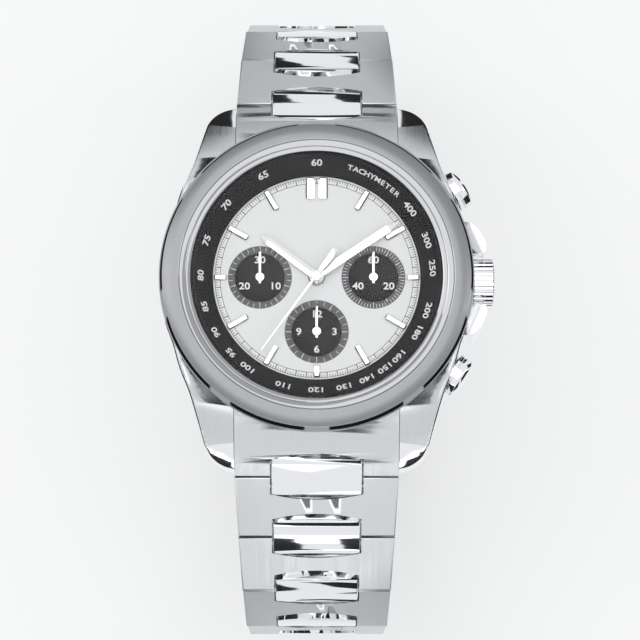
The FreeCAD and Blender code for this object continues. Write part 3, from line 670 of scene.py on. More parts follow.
@dataclass(frozen=True)
class Brushed:
    """Brushed metal."""

    name: str
    tint: tuple[float, float, float]
    grain: Grain
    rough: tuple[float, float] = (0.26, 0.38)
    depth: float = 0.12
    centre: Point = (0.0, 0.0)

    def material(self, fx: Effects) -> bpy.types.Material:
        """Build the material.

        Args:
            fx: the shared groups.

        Returns:
            The material.
        """
        shade = Shade(self.name)
        shade.plain(Metallic=1.0)
        if self.grain is Grain.CIRCULAR:
            start = shade.mapped((1, 1, 1), (self.centre[0] * MM, self.centre[1] * MM, 0))
            vector = shade.group(fx.polar, start, Lines=11000.0).outputs["Vector"]
        else:
            vector = shade.mapped(STROKE_SCALE[self.grain])
        strokes = shade.group(fx.strokes, vector, Depth=1.0)
        wear = shade.group(fx.wear, shade.coords, Amount=0.8)
        dark = tuple(c * 0.93 for c in self.tint)
        shade.tints(strokes.outputs["Value"], dark, self.tint)
        rough = shade.spread(strokes.outputs["Value"], *self.rough)
        shade.feed("Roughness", math_node(shade.tree, "SUBTRACT", rough,
                                          math_node(shade.tree, "MULTIPLY", wear.outputs["Mask"], 0.12)))
        shade.bump(strokes.outputs["Height"], self.depth, 4e-6)
        return shade.material


@dataclass(frozen=True)
class Polished:
    """Mirror-polished metal, its sharp rims brightened in colour as a painted highlight."""

    name: str
    tint: tuple[float, float, float]
    rough: float = 0.06
    coat: float = 0.0

    def material(self, fx: Effects) -> bpy.types.Material:
        """Build the material.

        Args:
            fx: the shared groups.

        Returns:
            The material.
        """
        shade = Shade(self.name)
        shade.plain(Metallic=1.0, Coat_Weight=self.coat)
        handling = shade.group(fx.handling, shade.coords, Base=self.rough, Spread=0.06)
        wear = shade.group(fx.wear, shade.coords, Amount=0.5)
        # painted highlight: the edge mask makes the colour of the polished rims 8% brighter
        shade.tints(wear.outputs["Mask"], self.tint, tuple(min(1.0, c * 1.08) for c in self.tint))
        shade.feed("Roughness", handling.outputs["Roughness"])
        return shade.material


@dataclass(frozen=True)
class Painted:
    """Paint, enamel, print or moulded plastic."""

    name: str
    tint: tuple[float, float, float]
    rough: float = 0.4
    coat: float = 0.0
    metallic: float = 0.0
    speck: float = 0.06
    gloss: float = 0.5

    def material(self, fx: Effects) -> bpy.types.Material:
        """Build the material.

        Args:
            fx: the shared groups.

        Returns:
            The material.
        """
        shade = Shade(self.name)
        shade.plain(Metallic=self.metallic, Coat_Weight=self.coat, Coat_Roughness=0.08,
                    Specular_IOR_Level=self.gloss)
        fine = noise_node(shade.tree, shade.mapped((1, 1, 1)), 3800.0, 3.0)
        shade.tints(shade.spread(fine, 0.0, 1.0), tuple(c * (1 - self.speck) for c in self.tint), self.tint)
        handling = shade.group(fx.handling, shade.coords, Base=self.rough, Spread=0.08)
        shade.feed("Roughness", handling.outputs["Roughness"])
        shade.bump(fine, 0.08, 3e-6)
        return shade.material


@dataclass(frozen=True)
class Snailed:
    """Black register: gloss middle, lighter track ring with fine circular cuts."""

    name: str
    centre: Point
    ring_r: float

    def material(self, fx: Effects) -> bpy.types.Material:
        """Build the material.

        Args:
            fx: the shared groups.

        Returns:
            The material.
        """
        shade = Shade(self.name)
        start = shade.mapped((1, 1, 1), (self.centre[0] * MM, self.centre[1] * MM, 0))
        polar = shade.group(fx.polar, start, Lines=1000.0)
        radius = polar.outputs["Radius"]
        outer = shade.spread(radius, 0.0, 1.0, (self.ring_r - 0.03) * MM, (self.ring_r + 0.03) * MM)
        wave = math_node(shade.tree, "SINE", math_node(shade.tree, "MULTIPLY", radius, 42000.0))
        shade.tints(outer, (0.008, 0.008, 0.009), (0.12, 0.12, 0.125))
        shade.plain(Specular_IOR_Level=0.2)
        shade.feed("Metallic", math_node(shade.tree, "MULTIPLY", outer, 0.6))
        handling = shade.group(fx.handling, shade.coords, Base=0.22, Spread=0.08)
        shade.feed("Roughness", math_node(shade.tree, "ADD", math_node(shade.tree, "MULTIPLY", outer, 0.2),
                                          handling.outputs["Roughness"]))
        shade.bump(math_node(shade.tree, "MULTIPLY", wave, outer), 0.2, 3e-6)
        return shade.material


@dataclass(frozen=True)
class Striped:
    """Plated bridge with straight decorative stripes."""

    name: str
    tint: tuple[float, float, float]
    pitch_mm: float = 1.6

    def material(self, fx: Effects) -> bpy.types.Material:
        """Build the material.

        Args:
            fx: the shared groups.

        Returns:
            The material.
        """
        shade = Shade(self.name)
        shade.plain(Metallic=1.0)
        lanes = 1.0 / (self.pitch_mm * MM)
        diagonal = shade.mapped((lanes, lanes * 0.35, 0))
        split = shade.tree.nodes.new("ShaderNodeSeparateXYZ")
        shade.tree.links.new(diagonal, split.inputs[0])
        along = math_node(shade.tree, "ADD", split.outputs[0], split.outputs[1])
        lane = math_node(shade.tree, "FRACT", along)
        shade.tints(lane, tuple(c * 0.72 for c in self.tint), self.tint)
        strokes = shade.group(fx.strokes, shade.mapped((3000, 9000, 3000)), Depth=0.4)
        shade.feed("Roughness", shade.spread(lane, 0.2, 0.38, 0.0, 1.0))
        shade.bump(math_node(shade.tree, "ADD", lane, strokes.outputs["Height"]), 0.3, 8e-6)
        return shade.material


@dataclass(frozen=True)
class Glass:
    """Clear crystal or ruby."""

    name: str
    tint: tuple[float, float, float]
    clear: float = 1.0
    ior: float = 1.5

    def material(self, fx: Effects) -> bpy.types.Material:
        """Build the material.

        Args:
            fx: the shared groups.

        Returns:
            The material.
        """
        shade = Shade(self.name)
        shade.plain(Base_Color=(*self.tint, 1), Metallic=0.0, Roughness=0.01, IOR=self.ior,
                    Transmission_Weight=self.clear)
        return shade.material


class Palette:
    """Every finish of the watch, by name."""

    def __init__(self) -> None:
        """Build the shared groups and all materials."""
        fx = Effects()
        steel, bright = (0.66, 0.66, 0.67), (0.86, 0.86, 0.87)
        registers = {"register_%s" % key: Snailed("register_black_%s" % key, at, 3.3)
                     for key, at in Dial.registers().items()}
        finishes = {
            "link_brushed": Brushed("steel_brushed_lengthwise", steel, Grain.LENGTHWISE, (0.3, 0.4), 0.1),
            "case_brushed": Brushed("case_brushed", (0.64, 0.64, 0.65), Grain.LENGTHWISE, (0.24, 0.34), 0.08),
            # painted shade: the bezel's brushed and polished steel are tinted far darker (0.27, 0.36) than
            # the case steel (0.64, 0.86), for the shade its sloping faces show
            "bezel_brushed": Brushed("bezel_brushed_round_painted_shade", (0.27, 0.27, 0.28), Grain.CIRCULAR,
                                     (0.26, 0.4), 0.3),
            "back_brushed": Brushed("back_brushed_round", steel, Grain.CIRCULAR),
            "steel_satin": Brushed("steel_satin", steel, Grain.SATIN),
            "clasp_brushed": Brushed("clasp_brushed", steel, Grain.LENGTHWISE, (0.22, 0.4)),
            "polished": Polished("steel_polished", bright),
            "bezel_polished_painted_shade": Polished("bezel_polished_painted_shade", (0.36, 0.36, 0.37), 0.05),
            "hands": Polished("hand_steel", (0.84, 0.84, 0.84), 0.09),
            "gilt": Brushed("gilt_brass", (0.78, 0.58, 0.27), Grain.SATIN, (0.16, 0.3), 0.15),
            "nickel": Striped("bridge_stripes", (0.74, 0.73, 0.71)),
            "blued": Polished("blued_steel", (0.07, 0.13, 0.42), 0.12),
            "enamel": Painted("chapter_black", (0.007, 0.007, 0.008), 0.4, gloss=0.15),
            "silver": Painted("dial_silver", (0.78, 0.78, 0.775), 0.42, 0.1, 0.1, 0.02),
            "white_ink": Painted("print_white", (0.85, 0.85, 0.84), 0.5),
            "black_ink": Painted("print_black", (0.015, 0.015, 0.017), 0.5),
            "rubber": Painted("gasket_black", (0.02, 0.02, 0.02), 0.7),
            "moulded": Painted("spacer_grey", (0.2, 0.2, 0.21), 0.5),
            "crystal": Glass("crystal_clear", (1.0, 1.0, 1.0), 1.0, 1.2),
            "back_crystal": Glass("back_crystal_clear", (0.97, 0.98, 1.0), 1.0, 1.4),
            "ruby": Glass("jewel_ruby", (0.7, 0.02, 0.1), 0.35, 1.76),
            **registers,
        }
        self.made = {key: finish.material(fx) for key, finish in finishes.items()}

    def __getitem__(self, key: str) -> bpy.types.Material:
        """A finish by name."""
        return self.made[key]


# ------------------------------------------------------------------ case
@dataclass
class Case:
    """Mid-case, bezel, crystal, tachymeter ring and back."""

    wall: float = 0.05
    tachymeter: tuple[int, ...] = (60, 65, 70, 75, 80, 85, 90, 95, 100, 110, 120, 130, 140, 150, 160,
                                   180, 200, 250, 300, 400)

    def bezel(self, finish: Palette) -> None:
        """Turned bezel: polished inner slope, brushed flat and polished outer bevel.

        Args:
            finish: every finish, by name.
        """
        low, high = box_mm("bezel")
        r, z0, z1, low_r = high.x, low.z, high.z, box_mm("crystal")[1].x + 0.07
        lip = z1 - 0.28
        outline = [(17.0, z0), (17.0, lip), (low_r, lip), (low_r, lip + 0.06), (low_r + 0.06, lip + 0.1),
                   (17.2, z1 - 0.11), (17.26, z1 - 0.16), (17.36, z1 - 0.1), (18.04, z1 - 0.01),
                   (18.12, z1 - 0.12), (18.22, z1 - 0.02), (18.28, z1), (20.36, z1 - 0.53),
                   (20.44, z1 - 0.59), (r - 0.04, z1 - 1.12), (r, z1 - 1.24), (r, z0)]
        obj = lathe("bezel_turned", outline, steps=192)
        # painted shade: the bezel takes the darkened copies of the steel finishes
        dress(obj, finish["bezel_brushed"], "case", ["bezel"])
        obj.data.materials.append(finish["bezel_polished_painted_shade"])
        for face in obj.data.polygons:
            radius = Vector(face.center.xy).length / MM
            face.material_index = 0 if 18.26 < radius < 20.37 and face.normal.z > 0.5 else 1

    def crystal(self, finish: Palette) -> None:
        """Domed crystal with its polished edge.

        Args:
            finish: every finish, by name.
        """
        low, high = box_mm("crystal")
        edge = high.x
        rise = high.z - low.z - 1.0
        steps = 10
        cap = [(edge - 0.35 - (edge - 0.35) * k / steps, low.z + 1.0 + rise * (1 - (1 - k / steps) ** 2))
               for k in range(steps + 1)]
        outline = [(0.0, low.z), (edge, low.z), (edge, low.z + 0.78), (edge - 0.12, low.z + 0.93)] + cap
        obj = lathe("crystal_domed", outline, steps=128)
        dress(obj, finish["crystal"], "case", ["crystal"])

    def ring(self, finish: Palette) -> None:
        """Sloping tachymeter ring with its printed scale.

        Args:
            finish: every finish, by name.
        """
        low, high = box_mm("tachymeter_ring")
        outline = [(13.7, low.z), (13.7, low.z + 0.2), (16.05, high.z - 0.03), (16.1, high.z),
                   (high.x, high.z), (high.x, low.z)]
        dress(lathe("tachymeter_ring_turned", outline, steps=160, bevel=0.04), finish["enamel"], "case",
              ["tachymeter_ring"])
        slope = math.atan2(high.z - low.z - 0.2, 16.05 - 13.7)
        marks = []
        for value in self.tachymeter:
            marks.append(self.on_slope(str(value), 360 * 60 / value % 360, 15.25, low.z, slope, 1.3))
        for k, letter in enumerate("TACHYMETER"):
            marks.append(self.on_slope(letter, 17.0 + 3.0 * k, 15.25, low.z, slope, 1.0))
        dress(merge("tachymeter_scale", marks), finish["white_ink"], "case")

    def on_slope(self, text: str, degrees: float, r: float, z0: float, slope: float, size: float) -> Obj:
        """One printed mark on the ring's slope, its top outwards.

        Args:
            text: number or letter.
            degrees: clock angle.
            r: radius of its middle.
            z0: height of the ring's foot.
            slope: the ring's slope in radians.
            size: letter size.

        Returns:
            The mark.
        """
        z = z0 + 0.2 + (r - 13.7) * math.tan(slope)
        x, y = clock(r, degrees)
        tilt = Matrix.Rotation(slope, 4, "X")
        return lettering(text, size, spot(x, y, z, degrees) @ tilt @ Matrix.Translation((0, 0, 0.01)), 0.03)

    def body(self, finish: Palette) -> None:
        """Mid-case, back, tubes, gaskets and spacer.

        Args:
            finish: every finish, by name.
        """
        case = dress(softened("case_middle"), finish["case_brushed"], "case", ["case_middle"])
        case.data.materials.append(finish["polished"])
        for face in case.data.polygons:
            side = abs(face.normal.z) < 0.86
            face.material_index = 1 if side else 0
        dress(softened("case_back"), finish["back_brushed"], "case", ["case_back"])
        for node, name, slot in (("case_back_crystal", "back_crystal", "sapphire"),
                                 ("case_gaskets", "rubber", "gasket"),
                                 ("case_tubes", "polished", "steel_polished"),
                                 ("movement_ring", "moulded", "ring_plastic")):
            dress(softened(node), finish[name], "case", [node])

    def build(self, finish: Palette) -> None:
        """Everything fixed to the case.

        Args:
            finish: every finish, by name.
        """
        self.body(finish)
        self.bezel(finish)
        self.ring(finish)
        self.crystal(finish)


# ------------------------------------------------------------------ dial
@dataclass
class Dial:
    """Dial plate, registers, printing and applied batons."""

    track_r: Point = (12.75, 13.45)
    marker_half: float = 0.43

    @staticmethod
    def registers() -> dict[str, Point]:
        """Centre of each register, from the hands that turn in them.

        Returns:
            Centre of each register, in millimetres.
        """
        out = {}
        for key, node in (("minutes", "minute_counter_hand"), ("seconds", "small_seconds_hand"),
                          ("hours", "hour_counter_hand")):
            low, high = box_mm(node)
            out[key] = ((low.x + high.x) / 2, high.y - 3.9)
        return out

    def plate(self, finish: Palette) -> None:
        """Dial plate with bevelled windows for the registers.

        Args:
            finish: every finish, by name.
        """
        obj = softened("dial")
        obj.name = "dial_plate"
        dress(obj, finish["silver"], "case", ["dial"])
        top = box_mm("dial")[1].z
        rims = []
        for key, at in self.registers().items():
            profile = [(4.22, top - 0.06), (4.22, top + 0.02), (4.32, top + 0.035), (4.4, top + 0.002),
                       (4.4, top - 0.06)]
            rims.append(lathe("register_rim_" + key, profile, at, 96))
        dress(merge("register_rims", rims), finish["silver"], "case")

    def register(self, key: str, at: Point, finish: Palette) -> Obj:
        """One recessed register with its stepped track ring.

        Args:
            key: which register.
            at: the centre.
            finish: every finish, by name.

        Returns:
            The register.
        """
        top = box_mm("subdial_plates")[1].z
        base = box_mm("subdial_plates")[0].z
        outline = [(0.3, base), (0.3, top - 0.05), (3.22, top - 0.05), (3.3, top), (4.28, top), (4.28, base)]
        obj = lathe("register_" + key, outline, at, 96)
        return dress(obj, finish["register_" + key], "case", ["subdial_plates"])

    def tick(self, inner: float, outer: float, half: float, z: float, count: int,
             at: Point = (0.0, 0.0)) -> Obj:
        """A ring of printed ticks.

        Args:
            inner: radius where a tick starts.
            outer: radius where it ends.
            half: half its width.
            z: height of the print's top.
            count: ticks round the circle.
            at: centre.

        Returns:
            The ticks as one object.
        """
        low, high = (at[0] - half, at[1] + inner, z - 0.03), (at[0] + half, at[1] + outer, z)
        bench = Bench("ticks").block(low, high)
        bench.spin((at[0], at[1], 0), count, copies=True)
        return bench.clean(0.0002).done()

    def print_track(self, finish: Palette) -> None:
        """Minute and fifth-second track.

        Args:
            finish: every finish, by name.
        """
        z = box_mm("dial")[1].z + 0.015
        inner, outer = self.track_r
        parts = [self.tick(inner, outer, 0.05, z, 60), self.tick(inner + 0.35, outer, 0.032, z, 240)]
        for r in (inner, outer):
            line = [(r - 0.03, z - 0.03), (r - 0.03, z), (r + 0.03, z), (r + 0.03, z - 0.03)]
            parts.append(lathe("line", line, steps=160))
        dress(merge("dial_print_black", parts), finish["black_ink"], "case")

    def print_registers(self, finish: Palette) -> None:
        """White scales and numbers of the three registers.

        Args:
            finish: every finish, by name.
        """
        z = box_mm("subdial_plates")[1].z + 0.02
        scales = {"minutes": ((30, 10, 20), 30, 10), "seconds": ((60, 20, 40), 60, 12),
                  "hours": ((12, 3, 6, 9), 24, 12)}
        parts = []
        for key, at in self.registers().items():
            numbers, fine, coarse = scales[key]
            parts.append(self.tick(3.62, 4.12, 0.03, z, fine, at))
            parts.append(self.tick(3.35, 4.12, 0.05, z, coarse, at))
            for k, number in enumerate(numbers):
                x, y = clock(2.35, 360 * k / len(numbers), at)
                parts.append(lettering(str(number), 1.3, spot(x, y, z - 0.05), 0.04))
        dress(merge("register_print", parts), finish["white_ink"], "case")

    def baton(self, name: str, span: Point, degrees: float, shift: float = 0.0, half: float = 0.43) -> Obj:
        """Applied baton with wide polished bevels.

        Args:
            name: name of the piece.
            span: inner and outer radius.
            degrees: clock angle.
            shift: sideways offset.
            half: half its width.

        Returns:
            The baton.
        """
        low, high = box_mm("hour_markers")
        bench = Bench(name).block((shift - half, span[0], low.z), (shift + half, span[1], high.z))
        obj = bench.done(bevel=0.17, segments=1, smooth=10)
        obj.data.transform(Matrix.Rotation(math.radians(-degrees), 4, "Z"))
        return obj

    def markers(self, finish: Palette) -> None:
        """Applied batons: a pair at 12, short ones by the registers.

        Args:
            finish: every finish, by name.
        """
        spans = {3: (11.9, 13.58), 6: (11.75, 13.4), 9: (11.9, 13.58)}
        batons = []
        for hour in range(12):
            span = spans.get(hour, (10.5, 13.55))
            sides = ((-0.85, 0.6), (0.85, 0.6)) if hour == 0 else ((0.0, self.marker_half),)
            for shift, half in sides:
                batons.append(self.baton("baton", span, 30 * hour, shift, half))
        dress(merge("applied_batons", batons), finish["hands"], "case", ["hour_markers"])

    def build(self, finish: Palette) -> None:
        """Everything on the dial.

        Args:
            finish: every finish, by name.
        """
        self.plate(finish)
        for key, at in self.registers().items():
            self.register(key, at, finish)
        self.print_track(finish)
        self.print_registers(finish)
        self.markers(finish)


# ------------------------------------------------------------------ hands
@dataclass
class Hand:
    """One hand: a ridged baton with a boss."""

    name: str
    node: str
    body: str
    length: float
    half: float
    tip: float
    degrees: float
    boss: float
    bore: float
    at: Point = (0.0, 0.0)
    tail: float = 0.0

    def blade(self, z0: float, z1: float) -> Obj:
        """Tapered blade with a raised middle ridge.

        Args:
            z0: height of its foot.
            z1: height of its top.

        Returns:
            The blade.
        """
        shoulder = self.length * 0.88
        bench = Bench("blade").block((-self.half, -self.tail, z0), (self.half, shoulder, z1))
        bench.pick(lambda v: v.y > shoulder - 0.01)
        bench.pull(0, self.length - shoulder, 0).scale((self.tip / self.half, 1, 1), (0, self.length, z0))
        bpy.ops.mesh.select_all(action="SELECT")
        bpy.ops.mesh.bisect(plane_co=(0, 0, 0), plane_no=(1, 0, 0))
        bench.pick(lambda v: abs(v.x) > 0.6 * self.tip and v.z > z1 - 0.001)
        bench.move(0, 0, -0.55 * (z1 - z0))
        return bench.clean().done(smooth=5)

    def build(self, finish: Palette) -> Obj:
        """Blade and boss where the hand lies at rest.

        Args:
            finish: every finish, by name.

        Returns:
            The dressed hand.
        """
        low, high = box_mm(self.node)
        top = high.z
        base = top - 0.27 if self.tail == 0 else top - 0.22
        blade = self.blade(base + 0.02, top - 0.03)
        neck = self.bore + 0.02 + 0.3 * (self.boss - self.bore)
        ring = [(self.bore, low.z), (self.bore, top - 0.02), (self.bore + 0.04, top), (self.boss - 0.05, top),
                (self.boss, top - 0.05), (self.boss, base), (neck, base), (neck, low.z)]
        boss = lathe("boss", ring, steps=48)
        obj = merge(self.name, [blade, boss])
        place = spot(self.at[0], self.at[1], 0, self.degrees)
        place_mm(obj, place)
        return dress(obj, finish["hands"], self.body, [self.node])


@dataclass
class Hands:
    """All six hands."""

    hour_length: float = 9.15
    minute_length: float = 13.05
    counter_length: float = 3.85
    counter_tail: float = 0.85
    hour_degrees: float = 307.0
    minute_degrees: float = 56.0
    seconds_degrees: float = 216.0

    def build(self, finish: Palette) -> None:
        """Build each hand and the caps over the bores.

        Args:
            finish: every finish, by name.
        """
        at = Dial.registers()
        Hand("hour_hand_ridged", "hour_hand", "hour_hand", self.hour_length, 0.55, 0.12, self.hour_degrees,
             1.0, 0.62).build(finish)
        Hand("minute_hand_ridged", "minute_hand", "center_wheel", self.minute_length, 0.5, 0.12,
             self.minute_degrees, 0.85, 0.57).build(finish)
        for key, node, body in (("minutes", "minute_counter_hand", "minute_counter"),
                                ("seconds", "small_seconds_hand", "fourth_wheel"),
                                ("hours", "hour_counter_hand", "hour_counter")):
            Hand(node + "_fine", node, body, self.counter_length, 0.15, 0.07, 0, 0.6, 0.02, at[key],
                 self.counter_tail).build(finish)
        self.chronograph(finish)

    def chronograph(self, finish: Palette) -> None:
        """Central needle with its paddle counterweight.

        Args:
            finish: every finish, by name.
        """
        low, high = box_mm("chrono_seconds_hand")
        z0, z1 = low.z + 0.05, high.z - 0.07
        bench = Bench("needle").block((-0.16, -1.5, z0), (0.16, 0, z1))
        bench.pick(lambda v: v.y > -0.01).pull(0, 12.35, 0).scale((0.42, 1, 1), (0, 12.35, z0))
        bench.pick(lambda v: v.y < -1.4).scale((2.0, 1, 1), (0, -1.5, z0))
        bench.pull(0, -2.9, 0).scale((1.25, 1, 1), (0, -4.4, z0))
        needle = bench.clean().done(bevel=0.03)
        top = high.z
        cap = [(0.0, top - 0.02), (0.3, top), (0.62, top - 0.03), (0.72, top - 0.1), (0.72, low.z),
               (0.2, low.z), (0.0, low.z)]
        obj = merge("chrono_seconds_needle", [needle, lathe("cap", cap, steps=48)])
        obj.data.transform(Matrix.Rotation(math.radians(-self.seconds_degrees), 4, "Z"))
        dress(obj, finish["hands"], "chrono_seconds", ["chrono_seconds_hand"])


# ------------------------------------------------------------------ crown and pushers
@dataclass
class Controls:
    """Crown, stem and the two pushers."""

    flutes: int = 24
    pusher_angle: float = 34.0

    def crown(self, finish: Palette) -> None:
        """Fluted crown turned about X.

        Args:
            finish: every finish, by name.
        """
        low, high = box_mm("crown")
        x0, length, r, z = low.x, high.x - low.x, (high.z - low.z) / 2, (high.z + low.z) / 2
        bench = Bench("crown_fluted").disc(r - 0.12, (0, 0, 0.12), self.flutes * 8)
        bench.pull(0, 0, length - 0.62).pick(lambda v: True)
        bpy.ops.object.mode_set(mode="OBJECT")
        for vertex in bench.obj.data.vertices:
            a = math.atan2(vertex.co.y, vertex.co.x)
            k = r - 0.2 + 0.2 * min(1.0, 0.3 + 1.4 * abs(math.cos(a * self.flutes / 2)))
            flat = Vector((math.cos(a), math.sin(a), 0)) * k
            vertex.co = (flat.x, flat.y, vertex.co.z)
        bpy.ops.object.mode_set(mode="EDIT")
        end = length - 0.5
        bench.pick(lambda v: v.z > end - 0.01).pull(0, 0, 0.0).scale((0.965, 0.965, 1), (0, 0, end))
        bench.pull(0, 0, 0.12).scale((0.965, 0.965, 1), (0, 0, end + 0.12))
        for shrink, rise in ((0.8, 0.2), (0.7, 0.1), (0.5, 0.05), (0.3, 0.02)):
            bench.pull(0, 0, rise).scale((shrink, shrink, 1), (0, 0, end))
        bench.pick(lambda v: v.z < 0.13).pull(0, 0, -0.12).scale((0.95, 0.95, 1), (0, 0, 0))
        bench.pull(0, 0, 0).scale((1.76 / (r * 0.92), 1.76 / (r * 0.92), 1), (0, 0, 0))
        bench.pull(0, 0, 1.7).pull(0, 0, 0).scale((0.58, 0.58, 1), (0, 0, 1.7))
        obj = bench.clean().done(smooth=40)
        place = Matrix.Translation((x0, 0, z)) @ Matrix.Rotation(math.radians(90), 4, "Y")
        place_mm(obj, place)
        dress(obj, finish["polished"], "crown", ["crown"])
        stem = "winding_stem"
        dress(softened(stem), finish["polished"], stem, [stem])

    def pusher(self, side: int, finish: Palette) -> None:
        """Pusher with a waisted neck and a bevelled cap, lying along a radius.

        Args:
            side: 1 for start, -1 for reset.
            finish: every finish, by name.
        """
        node = "start_pusher" if side > 0 else "reset_pusher"
        z = sum(v.z for v in box_mm(node)) / 2
        outline = [(0.0, 15.9), (0.8, 15.9), (0.8, 20.6), (2.17, 20.62), (2.25, 20.7), (2.25, 21.45),
                   (2.35, 21.6), (2.75, 21.6), (2.85, 21.7), (2.85, 22.15), (2.78, 22.22), (2.78, 22.3),
                   (2.85, 22.37), (2.85, 23.2), (2.8, 23.3), (2.58, 23.56), (2.4, 23.64), (1.4, 23.75),
                   (0.0, 23.79)]
        obj = lathe(node + "_turned", outline, steps=72)
        turn = Matrix.Rotation(math.radians(self.pusher_angle * side), 4, "Z")
        place = turn @ Matrix.Translation((0, 0, z)) @ Matrix.Rotation(math.radians(90), 4, "Y")
        place_mm(obj, place)
        dress(obj, finish["polished"], node, [node])

    def build(self, finish: Palette) -> None:
        """Crown, stem and pushers.

        Args:
            finish: every finish, by name.
        """
        self.crown(finish)
        self.pusher(1, finish)
        self.pusher(-1, finish)


# ------------------------------------------------------------------ bracelet
@dataclass
class Bracelet:
    """Links, end links, spring bars and the folding clasp."""

    links_per_side: int = 7

    def link(self, node: str, finish: Palette) -> None:
        """A link's brushed frame and polished centre link, told apart by how far they lie from the middle.

        Args:
            node: the link.
            finish: every finish, by name.
        """
        obj = softened(node)
        bpy.ops.object.select_all(action="DESELECT")
        obj.select_set(True)
        bpy.context.view_layer.objects.active = obj
        before = set(bpy.context.scene.objects)
        bpy.ops.object.mode_set(mode="EDIT")
        bpy.ops.mesh.select_all(action="SELECT")
        bpy.ops.mesh.separate(type="LOOSE")
        bpy.ops.object.mode_set(mode="OBJECT")
        pieces = [obj] + [o for o in bpy.context.scene.objects if o not in before]
        pieces.sort(key=lambda o: -o.dimensions.x * o.dimensions.y * o.dimensions.z)
        by_width = sorted(pieces, key=lambda o: o.dimensions.x)
        centre, frame_piece = by_width[0], pieces[0]
        pins = [o for o in pieces if o not in (centre, frame_piece)]
        centre.name, frame_piece.name = node + "_centre", node + "_frame"
        dress(frame_piece, finish["link_brushed"], node, [node])
        dress(centre, finish["polished"], node)
        if pins:
            dress(merge(node + "_pins", pins), finish["steel_satin"], node)

    def build(self, finish: Palette) -> None:
        """Every link, then the clasp.

        Args:
            finish: every finish, by name.
        """
        for side in (12, 6):
            for index in range(1, self.links_per_side + 1):
                self.link("link_%d_%d" % (side, index), finish)
        dress(softened("end_links"), finish["link_brushed"], "case", ["end_links"])
        dress(softened("spring_bars"), finish["steel_satin"], "case", ["spring_bars"])
        for node in ("clasp_cover", "clasp_blade_outer", "clasp_blade_inner"):
            dress(softened(node), finish["clasp_brushed"], node, [node])
        for node in ("clasp_button_right", "clasp_button_left"):
            dress(softened(node), finish["polished"], node, [node])


# ------------------------------------------------------------------ movement
@dataclass
class Movement:
    """Plates, train, balance, chronograph work and rotor."""

    FINISHES: ClassVar[dict[str, tuple[str, str, str]]] = {
        "main_plate": ("case", "nickel", "nickel"), "train_bridge": ("case", "nickel", "nickel"),
        "balance_cock": ("case", "nickel", "nickel"), "jewels": ("case", "ruby", "ruby"),
        "bridge_screws": ("case", "blued", "blued"), "hairspring": ("case", "blued", "blued"),
        "center_wheel": ("center_wheel", "gilt", "gilt"), "third_wheel": ("third_wheel", "gilt", "gilt"),
        "fourth_wheel": ("fourth_wheel", "gilt", "gilt"), "escape_wheel": ("escape_wheel", "gilt", "gilt"),
        "chrono_runner_wheel": ("chrono_seconds", "gilt", "gilt"),
        "balance_wheel": ("balance_wheel", "gilt", "gilt"),
        "barrel": ("barrel", "gilt", "gilt"), "pallet_fork": ("pallet_fork", "steel_satin", "nickel"),
        "column_wheel": ("column_wheel", "steel_satin", "nickel"),
        "reset_hammer": ("reset_hammer", "steel_satin", "nickel"),
        "rotor": ("rotor", "nickel", "nickel"),
    }

    def build(self, finish: Palette) -> None:
        """Dress every movement part."""
        for node, (body, key, slot) in self.FINISHES.items():
            dress(softened(node), finish[key], body, [node])


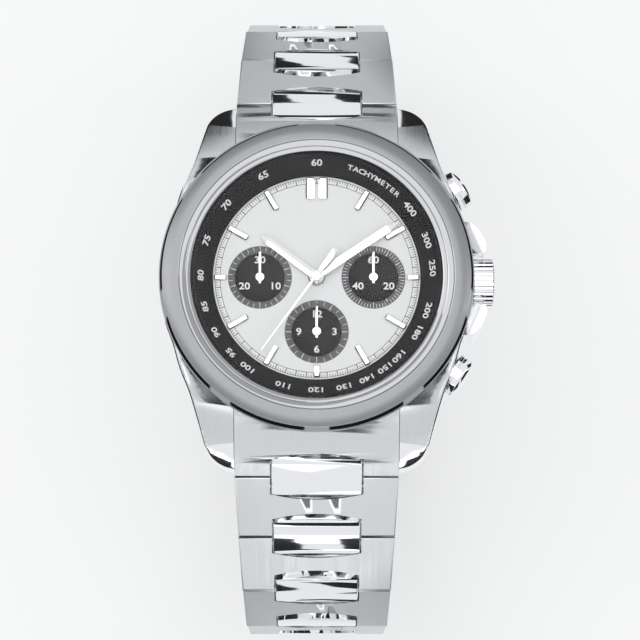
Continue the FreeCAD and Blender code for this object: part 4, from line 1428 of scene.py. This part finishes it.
# ------------------------------------------------------------------ studio
@dataclass
class Studio:
    """Floor, lights and camera."""

    lens: float = 150.0
    frame_width: float = 84.6
    tilt: float = 11.0
    swing: float = 0.0
    aim: tuple[float, float, float] = (0.44, -5.75, 10.0)
    card_z: float = -0.005
    card_height: float = 0.22
    card_width: float = 0.16

    def floor(self) -> None:
        """Pale floor under the bracelet."""
        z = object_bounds()[0].z - 0.0005
        bpy.ops.object.select_all(action="DESELECT")
        bpy.ops.mesh.primitive_plane_add(size=6.0, location=(0, 0, z))
        obj = bpy.context.object
        obj.name = "floor"
        material = bpy.data.materials.new("floor_pale")
        material.use_nodes = True
        shader = material.node_tree.nodes["Principled BSDF"]
        shader.inputs["Base Color"].default_value = (0.35, 0.35, 0.35, 1)
        shader.inputs["Roughness"].default_value = 0.9
        shader.inputs["Emission Color"].default_value = (1, 1, 1, 1)
        shader.inputs["Emission Strength"].default_value = 0.5
        obj.data.materials.append(material)
        obj.visible_glossy = False
        obj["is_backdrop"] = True

    def lamp(self, name: str, place: Sequence[float], aim: Sequence[float], size: Sequence[float],
             glow: float) -> Obj:
        """Rectangular soft light, in millimetres.

        Args:
            name: its name.
            place: where it stands.
            aim: what it points at.
            size: width and height.
            glow: how bright its face is.

        Returns:
            The light.
        """
        data = bpy.data.lights.new(name, "AREA")
        data.shape, data.size, data.size_y = "RECTANGLE", size[0] * MM, size[1] * MM
        data.energy = glow * math.pi * data.size * data.size_y
        obj = bpy.data.objects.new(name, data)
        obj.location = Vector(place) * MM
        obj.rotation_euler = (Vector(aim) - Vector(place)).to_track_quat("-Z", "Y").to_euler()
        bpy.context.collection.objects.link(obj)
        return obj

    def lights(self) -> None:
        """Soft boxes for the metal and a pale surround."""
        self.lamp("box_top", (-60, 60, 700), (0, 0, 0), (640, 760), 1.0)
        self.lamp("box_left", (-520, 160, 380), (0, 0, 0), (300, 520), 1.2)
        self.lamp("box_right", (520, 60, 300), (0, 0, 0), (160, 520), 0.9)
        self.lamp("box_front", (0, -560, 220), (0, 0, 0), (620, 120), 1.2)
        world = bpy.data.worlds.new("surround")
        world.use_nodes = True
        tree = world.node_tree
        tree.nodes["Background"].inputs["Color"].default_value = (0.96, 0.98, 1.0, 1)
        tree.nodes["Background"].inputs["Strength"].default_value = 0.95
        bpy.context.scene.world = world

    def cards(self) -> None:
        """Black cards low round the watch, seen only in the metal's reflections."""
        material = bpy.data.materials.new("card_black")
        material.use_nodes = True
        shader = material.node_tree.nodes["Principled BSDF"]
        shader.inputs["Base Color"].default_value = (0.01, 0.01, 0.01, 1)
        shader.inputs["Roughness"].default_value = 1.0
        for k in range(8):
            angle = math.radians(45 * k + 22.5)
            place = (0.26 * math.cos(angle), 0.26 * math.sin(angle), self.card_z)
            bpy.ops.mesh.primitive_plane_add(size=1.0, location=place,
                                             rotation=(math.radians(90), 0, angle + math.pi / 2))
            card = bpy.context.object
            card.name = "card_%d" % k
            card.scale = (self.card_width, self.card_height, 1)
            card.data.materials.append(material)
            card.visible_camera = card.visible_diffuse = card.visible_shadow = False
            card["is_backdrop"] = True

    def camera(self) -> None:
        """Long lens over the dial, a little from the 6 o'clock side."""
        data = bpy.data.cameras.new("camera")
        data.lens = self.lens
        distance = self.frame_width * self.lens / data.sensor_width
        tilt, swing = math.radians(self.tilt), math.radians(self.swing)
        back = Vector((math.sin(swing), -math.sin(tilt), math.cos(tilt) * math.cos(swing))).normalized()
        obj = bpy.data.objects.new("camera", data)
        obj.location = (Vector(self.aim) + back * distance) * MM
        right = Vector((0, 1, 0)).cross(back).normalized()
        up = back.cross(right)
        obj.rotation_euler = Matrix((right, up, back)).transposed().to_euler()
        data.clip_start, data.clip_end = 0.01, 10.0
        bpy.context.collection.objects.link(obj)
        bpy.context.scene.camera = obj

    def build(self) -> None:
        """Floor, lights and camera."""
        self.floor()
        self.cards()
        self.lights()
        self.camera()
        bpy.context.scene.view_settings.view_transform = "Standard"


def main() -> None:
    """Build the watch and its studio."""
    logging.basicConfig(level=logging.INFO, format="%(message)s")
    finish = Palette()
    Case().build(finish)
    Dial().build(finish)
    Hands().build(finish)
    Controls().build(finish)
    Bracelet().build(finish)
    Movement().build(finish)
    Studio().build()


if __name__ == "__main__":
    main()
